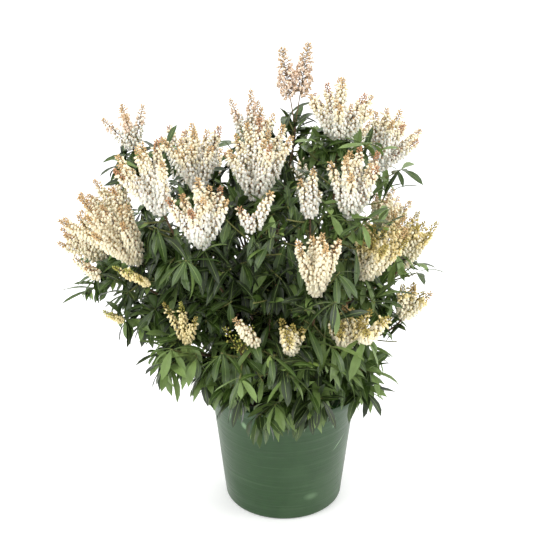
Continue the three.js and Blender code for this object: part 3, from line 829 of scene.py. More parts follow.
# ---- Finishes ------------------------------------------------------------------------------------
class Shader:
    """A material's nodes, with the few patterns that the finishes share."""

    def __init__(self, name: str) -> None:
        """Starts a material whose patterns lie on the piece's own coordinates."""
        self.material = bpy.data.materials.new(name)
        self.material.use_nodes = True
        self.tree = self.material.node_tree
        self.surface = self.tree.nodes["Principled BSDF"]
        self.place = self.node("ShaderNodeTexCoord").outputs["Object"]

    def node(self, kind: str, **values: object) -> Node:
        """A new node, with its settings."""
        made = self.tree.nodes.new(kind)
        for name, value in values.items():
            setattr(made, name, value)
        return made

    def wire(self, source: NodeSocket, target: NodeSocket) -> None:
        """Joins two sockets."""
        self.tree.links.new(source, target)

    def stretched(self, scale: Place) -> NodeSocket:
        """The piece's coordinates, stretched."""
        mapping = self.node("ShaderNodeMapping")
        mapping.inputs["Scale"].default_value = scale
        self.wire(self.place, mapping.inputs["Vector"])
        return mapping.outputs["Vector"]

    def mottle(self, scale: float, detail: float, place: NodeSocket | None = None) -> NodeSocket:
        """Cloudy noise from 0 to 1.

        Args:
            scale: How many clouds there are to the metre.
            detail: How many finer layers they have.
            place: Where the noise is read, if not at the piece's own coordinates.

        Returns:
            The noise.
        """
        cloud = self.node("ShaderNodeTexNoise")
        cloud.inputs["Scale"].default_value = scale
        cloud.inputs["Detail"].default_value = detail
        self.wire(place or self.place, cloud.inputs["Vector"])
        return cloud.outputs["Fac"]

    def spread(
        self, value: NodeSocket, low: float, high: float, to_low: float, to_high: float
    ) -> NodeSocket:
        """Stretches a value from one range on to another.

        Args:
            value: The value.
            low: Where its range starts.
            high: Where its range ends.
            to_low: Where the new range starts.
            to_high: Where the new range ends.

        Returns:
            The value, kept within the new range.
        """
        ranged = self.node("ShaderNodeMapRange")
        limits = {"From Min": low, "From Max": high, "To Min": to_low, "To Max": to_high}
        for name, limit in limits.items():
            ranged.inputs[name].default_value = limit
        self.wire(value, ranged.inputs["Value"])
        return ranged.outputs["Result"]

    def graded(self, value: NodeSocket, stops: Sequence[tuple[float, Colour]]) -> NodeSocket:
        """Reads a colour along a ramp.

        Args:
            value: How far along the ramp.
            stops: The ramp's places, from 0 to 1, and their colours.

        Returns:
            The colour.
        """
        ramp = self.node("ShaderNodeValToRGB")
        elements = ramp.color_ramp.elements
        while len(elements) < len(stops):
            elements.new(0.5)
        for element, (at, colour) in zip(elements, stops):
            element.position, element.color = at, colour
        self.wire(value, ramp.inputs["Fac"])
        return ramp.outputs["Color"]

    def clouded(
        self, colour: Colour, share: float, scale: float, detail: float, edge: float = 0.3
    ) -> NodeSocket:
        """A colour that clouds turn lighter and darker by a share, less sharply the lower their edge."""
        stops = ((edge, toned(colour, 1 - share)), (1 - edge, toned(colour, 1 + share)))
        return self.graded(self.mottle(scale, detail), stops)

    def mixed(
        self, share: NodeSocket, first: NodeSocket | Colour, second: NodeSocket | Colour
    ) -> NodeSocket:
        """Mixes two colours.

        Args:
            share: How much of the second there is.
            first: The first colour or pattern.
            second: The second colour or pattern.

        Returns:
            The mixture.
        """
        mix = self.node("ShaderNodeMix", data_type="RGBA")
        self.wire(share, mix.inputs[0])
        for socket, value in ((mix.inputs[6], first), (mix.inputs[7], second)):
            if isinstance(value, tuple):
                socket.default_value = value
            else:
                self.wire(value, socket)
        return mix.outputs[2]

    def patch(self, mark: "Mark") -> NodeSocket:
        """A soft spot in a mark's place.

        Args:
            mark: The mark.

        Returns:
            1 at its middle, and 0 outside it and behind the piece.
        """
        mapping = self.node("ShaderNodeMapping", vector_type="TEXTURE")
        mapping.inputs["Location"].default_value = mark.place
        mapping.inputs["Rotation"].default_value = (0, math.radians(mark.turn), 0)
        mapping.inputs["Scale"].default_value = (mark.half_length, mark.half_depth, mark.half_width)
        self.wire(self.place, mapping.inputs["Vector"])
        spot = self.node("ShaderNodeTexGradient", gradient_type="SPHERICAL")
        self.wire(mapping.outputs["Vector"], spot.inputs["Vector"])
        return spot.outputs["Fac"]

    def relief(
        self, height: NodeSocket, depth: float, strength: float = 1.0,
        under: NodeSocket | None = None,
    ) -> NodeSocket:
        """A bump, on top of another if one is given.

        Args:
            height: Its pattern.
            depth: Its height in metres.
            strength: How much of it shows.
            under: The bump below it.

        Returns:
            The surface's normal.
        """
        bump = self.node("ShaderNodeBump")
        bump.inputs["Distance"].default_value = depth
        bump.inputs["Strength"].default_value = strength
        self.wire(height, bump.inputs["Height"])
        if under is not None:
            self.wire(under, bump.inputs["Normal"])
        return bump.outputs["Normal"]

    def finish(
        self,
        colour: NodeSocket | None = None,
        roughness: NodeSocket | None = None,
        normal: NodeSocket | None = None,
        **settings: float,
    ) -> Material:
        """Wires the patterns to the surface and sets what is the same all over.

        Args:
            colour: The base colour's pattern.
            roughness: The roughness's pattern.
            normal: The relief.
            **settings: The surface's other sockets, with _ for a space.

        Returns:
            The material.
        """
        patterns = (("Base Color", colour), ("Roughness", roughness), ("Normal", normal))
        for name, socket in patterns:
            if socket is not None:
                self.wire(socket, self.surface.inputs[name])
        for name, value in settings.items():
            self.surface.inputs[name.replace("_", " ")].default_value = value
        return self.material


def toned(colour: Colour, factor: float) -> Colour:
    """A linear colour made lighter or darker."""
    return (*[min(1.0, c * factor) for c in colour[:3]], 1.0)


@dataclass(frozen=True)
class LeafFinish:
    """Leathery leaf: a plain tone with faint clouding, and a soft gloss."""

    name: str
    colour: Colour
    roughness: float = 0.34
    roughness_span: float = 0.14
    clouding: float = 0.22
    clouds: float = 26
    pore_depth: float = 0.00025

    def material(self) -> Material:
        """The material."""
        shader = Shader(self.name)
        colour = shader.clouded(self.colour, self.clouding, self.clouds, 4)
        dullest = self.roughness + self.roughness_span
        rough = shader.spread(shader.mottle(90, 2), 0.3, 0.7, self.roughness, dullest)
        pores = shader.relief(shader.mottle(900, 2), self.pore_depth, 0.5)
        return shader.finish(colour, rough, pores, Specular_IOR_Level=0.5)


@dataclass(frozen=True)
class PetalFinish:
    """Waxy petals or calyces: a plain tone with faint clouding, and some light let into them."""

    name: str
    colour: Colour
    roughness: float = 0.5
    clouding: float = 0.08
    depth: float = 0.12
    roughness_swing: float = 0.06
    clouds: float = 120
    skin_depth: float = 0.0002
    light_reach: float = 0.003
    light_tint: Place = (1.0, 0.85, 0.7)

    def material(self) -> Material:
        """The material."""
        shader = Shader(self.name)
        colour = shader.clouded(self.colour, self.clouding, self.clouds, 3, 0.32)
        limits = (self.roughness - self.roughness_swing, self.roughness + self.roughness_swing)
        rough = shader.spread(shader.mottle(300, 2), 0.3, 0.7, *limits)
        skin = shader.relief(shader.mottle(1500, 2), self.skin_depth, 0.4)
        made = shader.finish(
            colour, rough, skin, Subsurface_Weight=self.depth, Subsurface_Scale=self.light_reach
        )
        shader.surface.inputs["Subsurface Radius"].default_value = self.light_tint
        return made


@dataclass(frozen=True)
class BarkFinish:
    """Thin stringy bark, darker in its furrows."""

    name: str
    colour: Colour
    furrow: Colour
    scale: float = 260

    def material(self) -> Material:
        """The material."""
        shader = Shader(self.name)
        strings = shader.mottle(self.scale, 5, shader.stretched((1, 1, 0.16)))
        patches = shader.mottle(40, 3)
        body = shader.graded(strings, ((0.38, self.furrow), (0.62, self.colour)))
        colour = shader.mixed(shader.spread(patches, 0.4, 0.75, 0, 0.5), body, toned(self.colour, 1.7))
        return shader.finish(colour, None, shader.relief(strings, 0.0012, 0.8), Roughness=0.82)


@dataclass(frozen=True)
class Mark:
    """A pale scuff or scratch on the pot's front, its place and half sizes in metres."""

    place: Place
    half_length: float
    half_width: float
    turn: float
    strength: float
    half_depth: float = 0.06


@dataclass(frozen=True)
class PotFinish:
    """Satin green plastic, handled and a little dusty, with fine wrinkles round it and a few scuffs."""

    name: str = "pot_plastic"
    colour: Colour = linear(31, 63, 26)
    dusty: Colour = linear(112, 138, 104)
    marks: tuple[Mark, ...] = (
        Mark((0.104, -0.07, 0.152), 0.02, 0.0016, -45, 0.6),
        Mark((0.094, -0.1, 0.208), 0.003, 0.012, 10, 0.75),
        Mark((-0.074, -0.115, 0.212), 0.006, 0.01, -30, 0.6),
        Mark((-0.1, -0.1, 0.226), 0.003, 0.02, 8, 0.4),
        Mark((0.052, -0.105, 0.05), 0.016, 0.01, 0, 0.22),
    )

    def material(self) -> Material:
        """The material."""
        shader = Shader(self.name)
        smudge = shader.spread(shader.mottle(7, 5), 0.5, 0.8, 0.0, 0.16)
        grain = shader.clouded(self.colour, 0.08, 60, 4)
        colour = shader.mixed(smudge, grain, self.dusty)
        wrinkles = shader.mottle(13, 4, shader.stretched((0.45, 0.45, 15.0)))
        colour = shader.mixed(shader.spread(wrinkles, 0.56, 0.74, 0.0, 0.1), colour, self.dusty)
        pale = toned(self.dusty, 1.7)
        for mark in self.marks:
            patch = shader.patch(mark)
            colour = shader.mixed(shader.spread(patch, 0.0, 0.7, 0.0, mark.strength), colour, pale)
        rough = shader.spread(shader.mottle(12, 4), 0.3, 0.7, 0.3, 0.42)
        soft = shader.relief(shader.mottle(11, 2, shader.stretched((1, 1, 1.6))), 0.005, 0.3)
        wrinkled = shader.relief(wrinkles, 0.0016, 0.5, soft)
        fine = shader.relief(shader.mottle(900, 2), 0.00012, 0.5, wrinkled)
        return shader.finish(colour, rough, fine, Specular_IOR_Level=0.42)


@dataclass(frozen=True)
class SoilFinish:
    """Dark peaty compost with paler bits of bark."""

    name: str = "potting_compost"
    colour: Colour = linear(46, 34, 26)
    crumb: Colour = linear(98, 74, 54)

    def material(self) -> Material:
        """The material."""
        shader = Shader(self.name)
        stops = ((0.3, toned(self.colour, 0.5)), (0.55, self.colour), (0.75, self.crumb))
        colour = shader.graded(shader.mottle(120, 6), stops)
        crumbs = shader.node("ShaderNodeTexVoronoi")
        crumbs.inputs["Scale"].default_value = 260
        shader.wire(shader.place, crumbs.inputs["Vector"])
        rough = shader.relief(crumbs.outputs["Distance"], 0.002, 0.9)
        return shader.finish(colour, None, rough, Roughness=0.95)


@dataclass(frozen=True)
class FloorFinish:
    """A pale matt floor."""

    name: str = "studio_floor"
    colour: Colour = linear(252, 252, 252)

    def material(self) -> Material:
        """The material."""
        shader = Shader(self.name)
        stops = ((0.3, toned(self.colour, 0.99)), (0.7, self.colour))
        colour = shader.graded(shader.mottle(3, 2), stops)
        return shader.finish(colour, Roughness=0.9, Emission_Strength=0.15)


# ---- Leaves --------------------------------------------------------------------------------------
class Tone(Enum):
    """The tones that leaves are dealt out in."""

    DEEP = "deep"
    MID = "mid"
    # grey: a paler leaf green, partly the leaves' own paler tone and partly painted sheen
    GREY_SHEEN = "grey"
    YOUNG = "young"


@dataclass
class Leaf:
    """One leaf: where it starts, the way it leaves, and its size and bend."""

    base: Array
    way: Array
    length: float
    width: float
    bend: float
    roll: float
    twist: float

    def upright(self) -> tuple[Array, Array]:
        """The ways of the leaf's right side and of its upper face."""
        side = np.cross(UP, self.way)
        side = unit(side) if np.linalg.norm(side) > 0.02 else np.array([1.0, 0, 0])
        top = np.cross(self.way, side)
        cos, sin = math.cos(self.roll), math.sin(self.roll)
        return side * cos + top * sin, top * cos - side * sin

    def points(self, shares: Sequence[float]) -> Array:
        """Points along the leaf's bent middle."""
        _, top = self.upright()
        rows = []
        for share in shares:
            angle = self.bend * share
            along = self.length * math.sin(angle) / self.bend
            drop = self.length * (1 - math.cos(angle)) / self.bend
            rows.append(self.base + self.way * along - top * drop)
        return np.array(rows)


@dataclass
class LeafShape:
    """A long narrow leathery leaf, folded a little along its midrib, with the rib as a raised strip."""

    steps: int = 5
    outline: tuple[float, ...] = (0.1, 0.46, 0.88, 1.0, 0.74, 0.0)
    thickness: float = 0.8
    fold: float = 0.22
    rib_width: float = 1.3
    rib_rise: float = 0.35

    def __post_init__(self) -> None:
        """Makes the stamps of the blade and of its midrib."""
        self.blade = Stamp.read(self.pointed(4), self.is_crease)
        self.rib = Stamp.read(self.pointed(3))

    def pointed(self, sides: int) -> BMesh:
        """An upright tube whose top is drawn to a point."""
        shape = upright_tube(sides, self.steps)
        top = [v for v in shape.verts if v.co.z > 0.999]
        bmesh.ops.pointmerge(shape, verts=top, merge_co=(0, 0, 1))
        return shape

    @staticmethod
    def is_crease(a: Vector, b: Vector) -> bool:
        """Says whether an edge of the blade is its margin or the fold along its midrib."""
        if max(a.z, b.z) > 0.99:
            return True
        margin = abs(a.x) > 0.9 and abs(b.x) > 0.9 and a.x * b.x > 0
        return margin or (a.y > 0.9 and b.y > 0.9)

    def bent(self, leaves: Sequence[Leaf], shares: Array) -> tuple[Array, Array, Array, Array]:
        """Follows the leaves' middles.

        Args:
            leaves: The leaves.
            shares: How far along each corner lies.

        Returns:
            The middle's place, and the ways of the leaf's side and upper face there, with half its
            width: one row a leaf, one column a corner.
        """
        base = np.array([leaf.base for leaf in leaves])[:, None]
        way = np.array([leaf.way for leaf in leaves])[:, None]
        ups = [leaf.upright() for leaf in leaves]
        side = np.array([pair[0] for pair in ups])[:, None]
        top = np.array([pair[1] for pair in ups])[:, None]
        size = np.array([(leaf.length, leaf.width, leaf.bend, leaf.twist) for leaf in leaves])
        length, width, bend, twist = (size[:, k, None, None] for k in range(4))
        share = shares[None, :, None]
        angle = bend * share
        middle = base + way * (length * np.sin(angle) / bend) - top * (length * (1 - np.cos(angle)) / bend)
        face = way * np.sin(angle) + top * np.cos(angle)
        turn = twist * share
        across = side * np.cos(turn) + face * np.sin(turn)
        risen = face * np.cos(turn) - side * np.sin(turn)
        stations = np.linspace(0, 1, len(self.outline))
        half = width * np.interp(shares, stations, self.outline)[None, :, None] / 2
        return middle, across, risen, half

    def blades(self, leaves: Sequence[Leaf]) -> Array:
        """Shapes the leaves' blades.

        Args:
            leaves: The leaves.

        Returns:
            The corners of every blade.
        """
        corners = self.blade.corners
        middle, across, risen, half = self.bent(leaves, corners[:, 2])
        aside, layer = corners[None, :, :1], corners[None, :, 1:2]
        body = self.thickness / 2 * np.minimum(1, half / 2)
        return middle + across * (half * aside) + risen * (self.fold * half * np.abs(aside) + layer * body)

    def ribs(self, leaves: Sequence[Leaf]) -> Array:
        """Shapes the leaves' midribs.

        Args:
            leaves: The leaves.

        Returns:
            The corners of every midrib.
        """
        corners = self.rib.corners
        middle, across, risen, half = self.bent(leaves, corners[:, 2] * 0.96)
        aside = corners[None, :, :1] / 0.866
        crest = corners[None, :, 1:2] > 0.5
        wide = np.minimum(self.rib_width / 2, half * 0.5)
        body = self.thickness / 2 * np.minimum(1, half / 2)
        rise = np.where(crest, body + self.rib_rise, body + self.fold * wide - 0.2)
        return middle + across * (wide * aside) + risen * rise


@dataclass
class Foliage:
    """Every twig and leaf, grown on from the skeleton within each mass's own space."""

    skeleton: Skeleton
    shape: LeafShape = field(default_factory=LeafShape)
    leaf_length: Pair = (60.0, 80.0)
    leaf_width: Pair = (12.5, 16.8)
    head_leaves: int = 13
    shoot_leaves: int = 11
    spur_leaves: int = 9
    stem_older: tuple[int, float] = (12, 0.12)  # how many, and the bare share at the twig's foot
    shoot_older: tuple[int, float] = (4, 0.2)
    spur_older: tuple[int, float] = (3, 0.25)
    older_end: float = 0.93
    finer_shoots: int = 8
    finer_extra: int = 2
    finer_share: Pair = (0.08, 0.86)
    finer_length: Pair = (32.0, 76.0)
    shoot_tries: int = 110
    spurs: int = 13
    spur_start: float = 0.3
    spur_span: float = 0.66
    spur_length: Pair = (34.0, 74.0)
    turn_wander: float = 0.4
    leafy_rise: Pair = (0.55, -0.35)  # of a whorl's innermost and outermost leaves
    flowering_rise: Pair = (0.1, -0.45)
    inner_leaves: int = 2
    inner_rise: float = 0.8
    inner_share: float = 0.2
    inner_sizes: Pair = (0.74, 0.92)
    outer_sizes: Pair = (0.78, 1.0)
    older_sizes: Pair = (0.7, 1.0)
    opening_sizes: Pair = (0.24, 0.4)
    opening_leaves: int = 4
    opening_share: float = 0.16
    bends: Pair = (0.2, 1.15)
    rolls: Pair = (-0.3, 0.3)
    twists: Pair = (-0.5, 0.5)
    smaller: tuple[float, ...] = (1.0, 0.84, 0.7)
    tested: tuple[float, ...] = (0.4, 0.65, 0.85, 1.0)
    same_tone: float = 0.74
    low_height: float = 450.0
    right_side: float = 90.0
    high_tones: Pair = (0.5, 0.9)  # below the first deep, above the second grey
    low_tones: Pair = (0.24, 0.68)
    right_tones: Pair = (0.12, 0.5)
    stem_radii: Pair = (2.3, 1.9)
    shoot_radii: Pair = (1.5, 1.2)
    twig_sink: float = 1.5
    tip_space: float = 20.0
    tip_room: float = 9.0
    half_room: float = 3.0
    spur_room: float = 4.0
    shoot_spacing: float = 26.0
    limb_clearance: float = 5.0
    leaf_clearance: float = 2.0
    flower_space: float = 19.0
    below_head: float = 4.0
    twig_steps: tuple[int, int] = (6, 10)  # green shoots, woody stems
    least_room: float = 0.6
    flower_clearance: float = 12.5
    head_cover: float = 0.22

    def __post_init__(self) -> None:
        """Starts a heap for each kind of piece, and marks where the flowers are."""
        self.leaves: dict[Tone, list[tuple[str, Leaf]]] = defaultdict(list)
        self.woody = Heap(Stamp.read(upright_tube(6, self.twig_steps[True])))
        self.green = Heap(Stamp.read(upright_tube(4, self.twig_steps[False])))
        rows = [
            spire.points(0.37 if mass.bloom is Bloom.TALL else 0.15, 12)
            for mass in self.skeleton.masses
            for spire in mass.spires + mass.side_spires()
        ]
        self.flowers = np.concatenate(rows)

    def grow(self) -> None:
        """Grows every mass, and then the spurs along the boughs."""
        for mass in self.skeleton.masses:
            self.grow_mass(mass)
        for number, bough in enumerate(self.skeleton.boughs.values()):
            self.grow_spurs(number, bough.curve, self.spurs)

    def grow_mass(self, mass: Mass) -> None:
        """Grows one mass's twigs and leaves.

        Args:
            mass: The mass.
        """
        random = SeededRandom(mass.seed + LEAF_SEED)
        self.add_twig(self.woody, mass.stem, self.stem_radii, mass)
        finer = self.finer(mass, random)
        self.grow_spurs(100 + mass.number, mass.stem, 2 * (self.finer_shoots - len(finer)))
        crowded = mass.racemes > 0 and mass.bloom is not Bloom.TALL
        self.rosette(mass, mass.centre, mass.axis, self.head_leaves, crowded, random)
        self.along(mass, mass.stem, *self.stem_older, random)
        for shoot in mass.shoots + finer:
            self.add_twig(self.green, shoot.curve, self.shoot_radii, mass)
            tip = shoot.curve.point(1)
            self.rosette(mass, tip, shoot.axis, self.shoot_leaves, shoot.flowers, random)
            self.along(mass, shoot.curve, *self.shoot_older, random)

    def grow_spurs(self, number: int, limb: Curve, count: int) -> None:
        """Grows short leafy spurs along a limb, each in the space of the mass that it reaches into.

        Args:
            number: The limb's own number.
            limb: The bough's or the stem's curve.
            count: How many are tried.
        """
        random = SeededRandom(SPUR_SEED + number)
        plant = self.skeleton
        for k in range(count):
            share = self.spur_start + self.spur_span * (k + random()) / count
            base, along = limb.point(share), limb.way(share)
            across, over = across_ways(along, SLANT)
            turn = GOLDEN_TURN * k + random.between(-self.turn_wander, self.turn_wander)
            out = across * math.cos(turn) + over * math.sin(turn)
            way = unit(along * random.between(0.3, 0.9) + out + UP * 0.15)
            tip = base + way * random.between(*self.spur_length)
            half = (base + tip) / 2 - UP * 3
            home = next((m for m in plant.masses if m.room_at(tip)[0] > self.spur_room), None)
            if (
                home
                and plant.clear_of_pot(np.array([tip + way * self.tip_space, half]))
                and plant.limbs.clear(tip[None], home, self.limb_clearance)
                and self.to_flowers(tip[None]) >= self.flower_space + 1
            ):
                curve = Curve((base, half, tip))
                self.add_twig(self.green, curve, self.shoot_radii, home)
                self.rosette(home, tip, way, self.spur_leaves, False, random)
                self.along(home, curve, *self.spur_older, random)

    def finer(self, mass: Mass, random: SeededRandom) -> list[Shoot]:
        """Finer shoots between the first ones, kept apart from them and from the flowers.

        Args:
            mass: The mass.
            random: The mass's own sequence.

        Returns:
            The shoots that found room.
        """
        plant = self.skeleton
        tips = [mass.centre] + [shoot.curve.point(1) for shoot in mass.shoots]
        made: list[Shoot] = []
        wanted = self.finer_shoots + (self.finer_extra if mass.racemes == 0 else 0)
        for attempt in range(self.shoot_tries):
            if len(made) == wanted:
                break
            base = mass.stem.point(random.between(*self.finer_share))
            reach = random.between(*self.finer_length)
            turn = GOLDEN_TURN * attempt + random.between(-self.turn_wander, self.turn_wander)
            way = mass.axis * random.between(0.1, 0.8)
            way = unit(way + mass.across * math.cos(turn) + mass.over * math.sin(turn))
            tip = base + way * reach + UP * (reach * 0.1)
            half = (base + tip) / 2 - UP * (reach * 0.06)
            if (
                mass.room_at(tip)[0] >= self.tip_room
                and mass.room_at(half)[0] >= self.half_room
                and np.linalg.norm(tip - np.array(tips), axis=1).min() >= self.shoot_spacing
                and plant.clear_of_pot(np.array([tip + way * self.tip_space, half]))
                and plant.limbs.clear(np.array([tip, half]), mass, self.limb_clearance)
                and self.to_flowers(tip[None]) >= self.flower_space
                and self.above_head(mass, tip) <= -self.below_head
            ):
                tips.append(tip)
                made.append(Shoot(Curve((base, half, tip)), way))
        return made

    def to_flowers(self, points: Array) -> float:
        """The least distance from any of the points to the middle of a raceme."""
        return float(np.linalg.norm(points[:, None] - self.flowers[None], axis=2).min())

    @staticmethod
    def above_head(mass: Mass, point: Array) -> float:
        """How far a point lies above a flower head's foot: nothing stops it on a leafy mass."""
        return float((point - mass.centre) @ mass.axis) if mass.racemes else -math.inf

    def add_twig(self, heap: Heap, curve: Curve, radii: Pair, mass: Mass) -> None:
        """Adds a twig, sunk a little into what bears it.

        Args:
            heap: The woody stems or the green shoots.
            curve: The line of its middle.
            radii: Its radius at the foot and at the tip.
            mass: The mass that it belongs to.
        """
        steps = self.twig_steps[heap is self.woody]
        line = curve.points(steps)
        line[0] -= unit(line[1] - line[0]) * self.twig_sink
        wide = np.linspace(*radii, steps + 1)
        heap.add(along_line(heap.stamp.corners, line, wide)[None], mass.name)

    def rosette(
        self, mass: Mass, tip: Array, axis: Array, count: int, flowering: bool, random: SeededRandom
    ) -> None:
        """Grows a whorl of leaves round a shoot's tip, the inner ones more upright.

        On some leafy tips a few small pale leaves are opening.

        Args:
            mass: The mass.
            tip: The shoot's tip.
            axis: The way that the shoot points.
            count: How many leaves are tried.
            flowering: Whether racemes stand on the tip, so that the leaves spread below them.
            random: The mass's own sequence.
        """
        across, over = across_ways(axis, ASIDE_UP)
        main = self.deal(random, mass)
        first = random.between(0, FULL_TURN)
        high, low = self.flowering_rise if flowering else self.leafy_rise
        for k in range(count):
            turn = first + GOLDEN_TURN * k + random.between(-0.15, 0.15)
            share = k / count
            rise = high + (low - high) * share
            if k < self.inner_leaves and not flowering:
                rise += self.inner_rise
            way = axis * rise + across * math.cos(turn) + over * math.sin(turn)
            way = unit(way - UP * random.between(0.12, 0.5))
            base = tip - axis * (1 + 9 * share)
            size = random.between(*(self.outer_sizes if share > self.inner_share else self.inner_sizes))
            tone = main if random() < self.same_tone else self.deal(random, mass)
            self.try_leaf(mass, base, way, size, tone, random)
        if not flowering and random() < self.opening_share:
            for k in range(self.opening_leaves):
                turn = GOLDEN_TURN * k
                way = unit(axis * 1.3 + across * math.cos(turn) + over * math.sin(turn))
                size = random.between(*self.opening_sizes)
                self.try_leaf(mass, tip, way, size, Tone.YOUNG, random)

    def along(self, mass: Mass, curve: Curve, count: int, start: float, random: SeededRandom) -> None:
        """Adds older leaves along a twig below its tip.

        Args:
            mass: The mass.
            curve: The twig's curve.
            count: How many leaves are tried.
            start: The share of the twig that stays bare at its foot.
            random: The mass's own sequence.
        """
        for k in range(count):
            share = start + (self.older_end - start) * (k + random()) / count
            way = curve.way(share)
            across, over = across_ways(way, SLANT)
            turn = GOLDEN_TURN * k + random.between(-0.3, 0.3)
            out = way * 0.45 + across * math.cos(turn) + over * math.sin(turn)
            out = unit(out - UP * random.between(0.05, 0.4))
            tone = self.deal(random, mass)
            size = random.between(*self.older_sizes)
            self.try_leaf(mass, curve.point(share), out, size, tone, random)

    def deal(self, random: SeededRandom, mass: Mass) -> Tone:
        """Deals a tone to a spray, with more of the paler ones low on the plant and most at its right; the
        palest, grey tone is partly painted sheen.

        Args:
            random: The mass's own sequence.
            mass: The mass.

        Returns:
            The tone.
        """
        deep, pale = self.low_tones if mass.place[2] < self.low_height else self.high_tones
        if mass.centre[0] > self.right_side:
            deep, pale = self.right_tones
        draw = random()
        return Tone.DEEP if draw < deep else Tone.GREY_SHEEN if draw > pale else Tone.MID

    def try_leaf(
        self, mass: Mass, base: Array, way: Array, size: float, tone: Tone, random: SeededRandom
    ) -> None:
        """Grows a leaf where it keeps to the mass's space and off what is there, smaller if need be.

        Args:
            mass: The mass.
            base: Where the leaf starts.
            way: The way it leaves.
            size: Its share of full size.
            tone: Its tone.
            random: The mass's own sequence.
        """
        length = random.between(*self.leaf_length) * size
        width = random.between(*self.leaf_width) * (size**0.6)
        bend = random.between(*self.bends)
        roll, twist = random.between(*self.rolls), random.between(*self.twists)
        for share in self.smaller:
            leaf = Leaf(base, way, length * share, width * share**0.5, bend, roll, twist)
            points = leaf.points(self.tested)
            if (
                mass.room_at(points).min() >= self.least_room
                and mass.centre[2] - points[-1, 2] <= mass.hem
                and self.skeleton.clear_of_pot(points)
                and self.skeleton.limbs.clear(points, mass, self.leaf_clearance)
                and self.to_flowers(points[1:]) >= self.flower_clearance
                and self.above_head(mass, points[-1]) <= self.head_cover * mass.length
            ):
                self.leaves[tone].append((mass.name, leaf))
                return

    def dress(self, finishes: dict[Tone, LeafFinish]) -> None:
        """Writes the pieces: twigs, blades by tone, and midribs.

        Args:
            finishes: Each tone's finish.
        """
        bark = BarkFinish("twig_bark", linear(112, 88, 62), linear(70, 52, 38), 420)
        young = BarkFinish("shoot_skin", linear(118, 122, 66), linear(88, 86, 48), 520)
        self.woody.dress("stems", bark.material(), "bark")
        self.green.dress("shoots", young.material(), "bark")
        ribs, pale_ribs = Heap(self.shape.rib), Heap(self.shape.rib)
        for tone, finish in finishes.items():
            heap = Heap(self.shape.blade)
            rows = self.leaves[tone]
            for name in sorted({name for name, _ in rows}):
                mine = [leaf for owner, leaf in rows if owner == name]
                heap.add(self.shape.blades(mine), name)
                (pale_ribs if tone is Tone.YOUNG else ribs).add(self.shape.ribs(mine), name)
            heap.dress(f"leaves_{tone.value}", finish.material(), "foliage")
        rib = LeafFinish("leaf_midrib", linear(110, 130, 70), 0.42)
        ribs.dress("leaf_midribs", rib.material(), "foliage")
        young_rib = LeafFinish("young_midrib", linear(150, 168, 96), 0.42)
        pale_ribs.dress("young_midribs", young_rib.material(), "foliage")


# ---- Flowers -------------------------------------------------------------------------------------
@dataclass(frozen=True)
class BloomLook:
    """How a raceme looks at one stage: its bells from the foot up, its buds and what holds them.

    Its flowers reach out less from one share of its length on, and hang singly or in clusters.
    """

    bell: str
    upper_bell: str
    bud: tuple[str, str]
    holder: tuple[str, str]
    fullness: float = 1.0
    open_share: float = 0.88
    size: float = 1.0
    reach: float = 1.0
    bare_share: float = 0.04
    narrows_at: float = 0.42
    cluster: int = 1


LOOKS = {
    Bloom.WHITE: BloomLook("white", "cream", ("tan", "rust"), ("tan", "rust")),
    Bloom.CREAM: BloomLook("cream", "cream", ("tan", "tan"), ("tan", "rust"), open_share=0.85),
    Bloom.GOLD: BloomLook("cream", "straw", ("olive", "tan"), ("olive", "olive"), open_share=0.78),
    Bloom.YELLOW: BloomLook("straw", "straw", ("green", "olive"), ("olive", "olive"), 0.9, 0.74, 0.76, 0.66),
    Bloom.BLUSH: BloomLook("white", "blush", ("tan", "tan"), ("tan", "tan"), 1.0, 0.8, 0.86, 0.95, 0.06),
    Bloom.TALL: BloomLook(
        "blush", "blush", ("rust", "tan"), ("rust", "tan"), 3.2, 0.62, 0.66, 2.1, 0.37, 0.03, 5
    ),
    Bloom.GREEN: BloomLook("straw", "straw", ("green", "green"), ("olive", "olive"), 0.5, 0.0, 0.8),
}


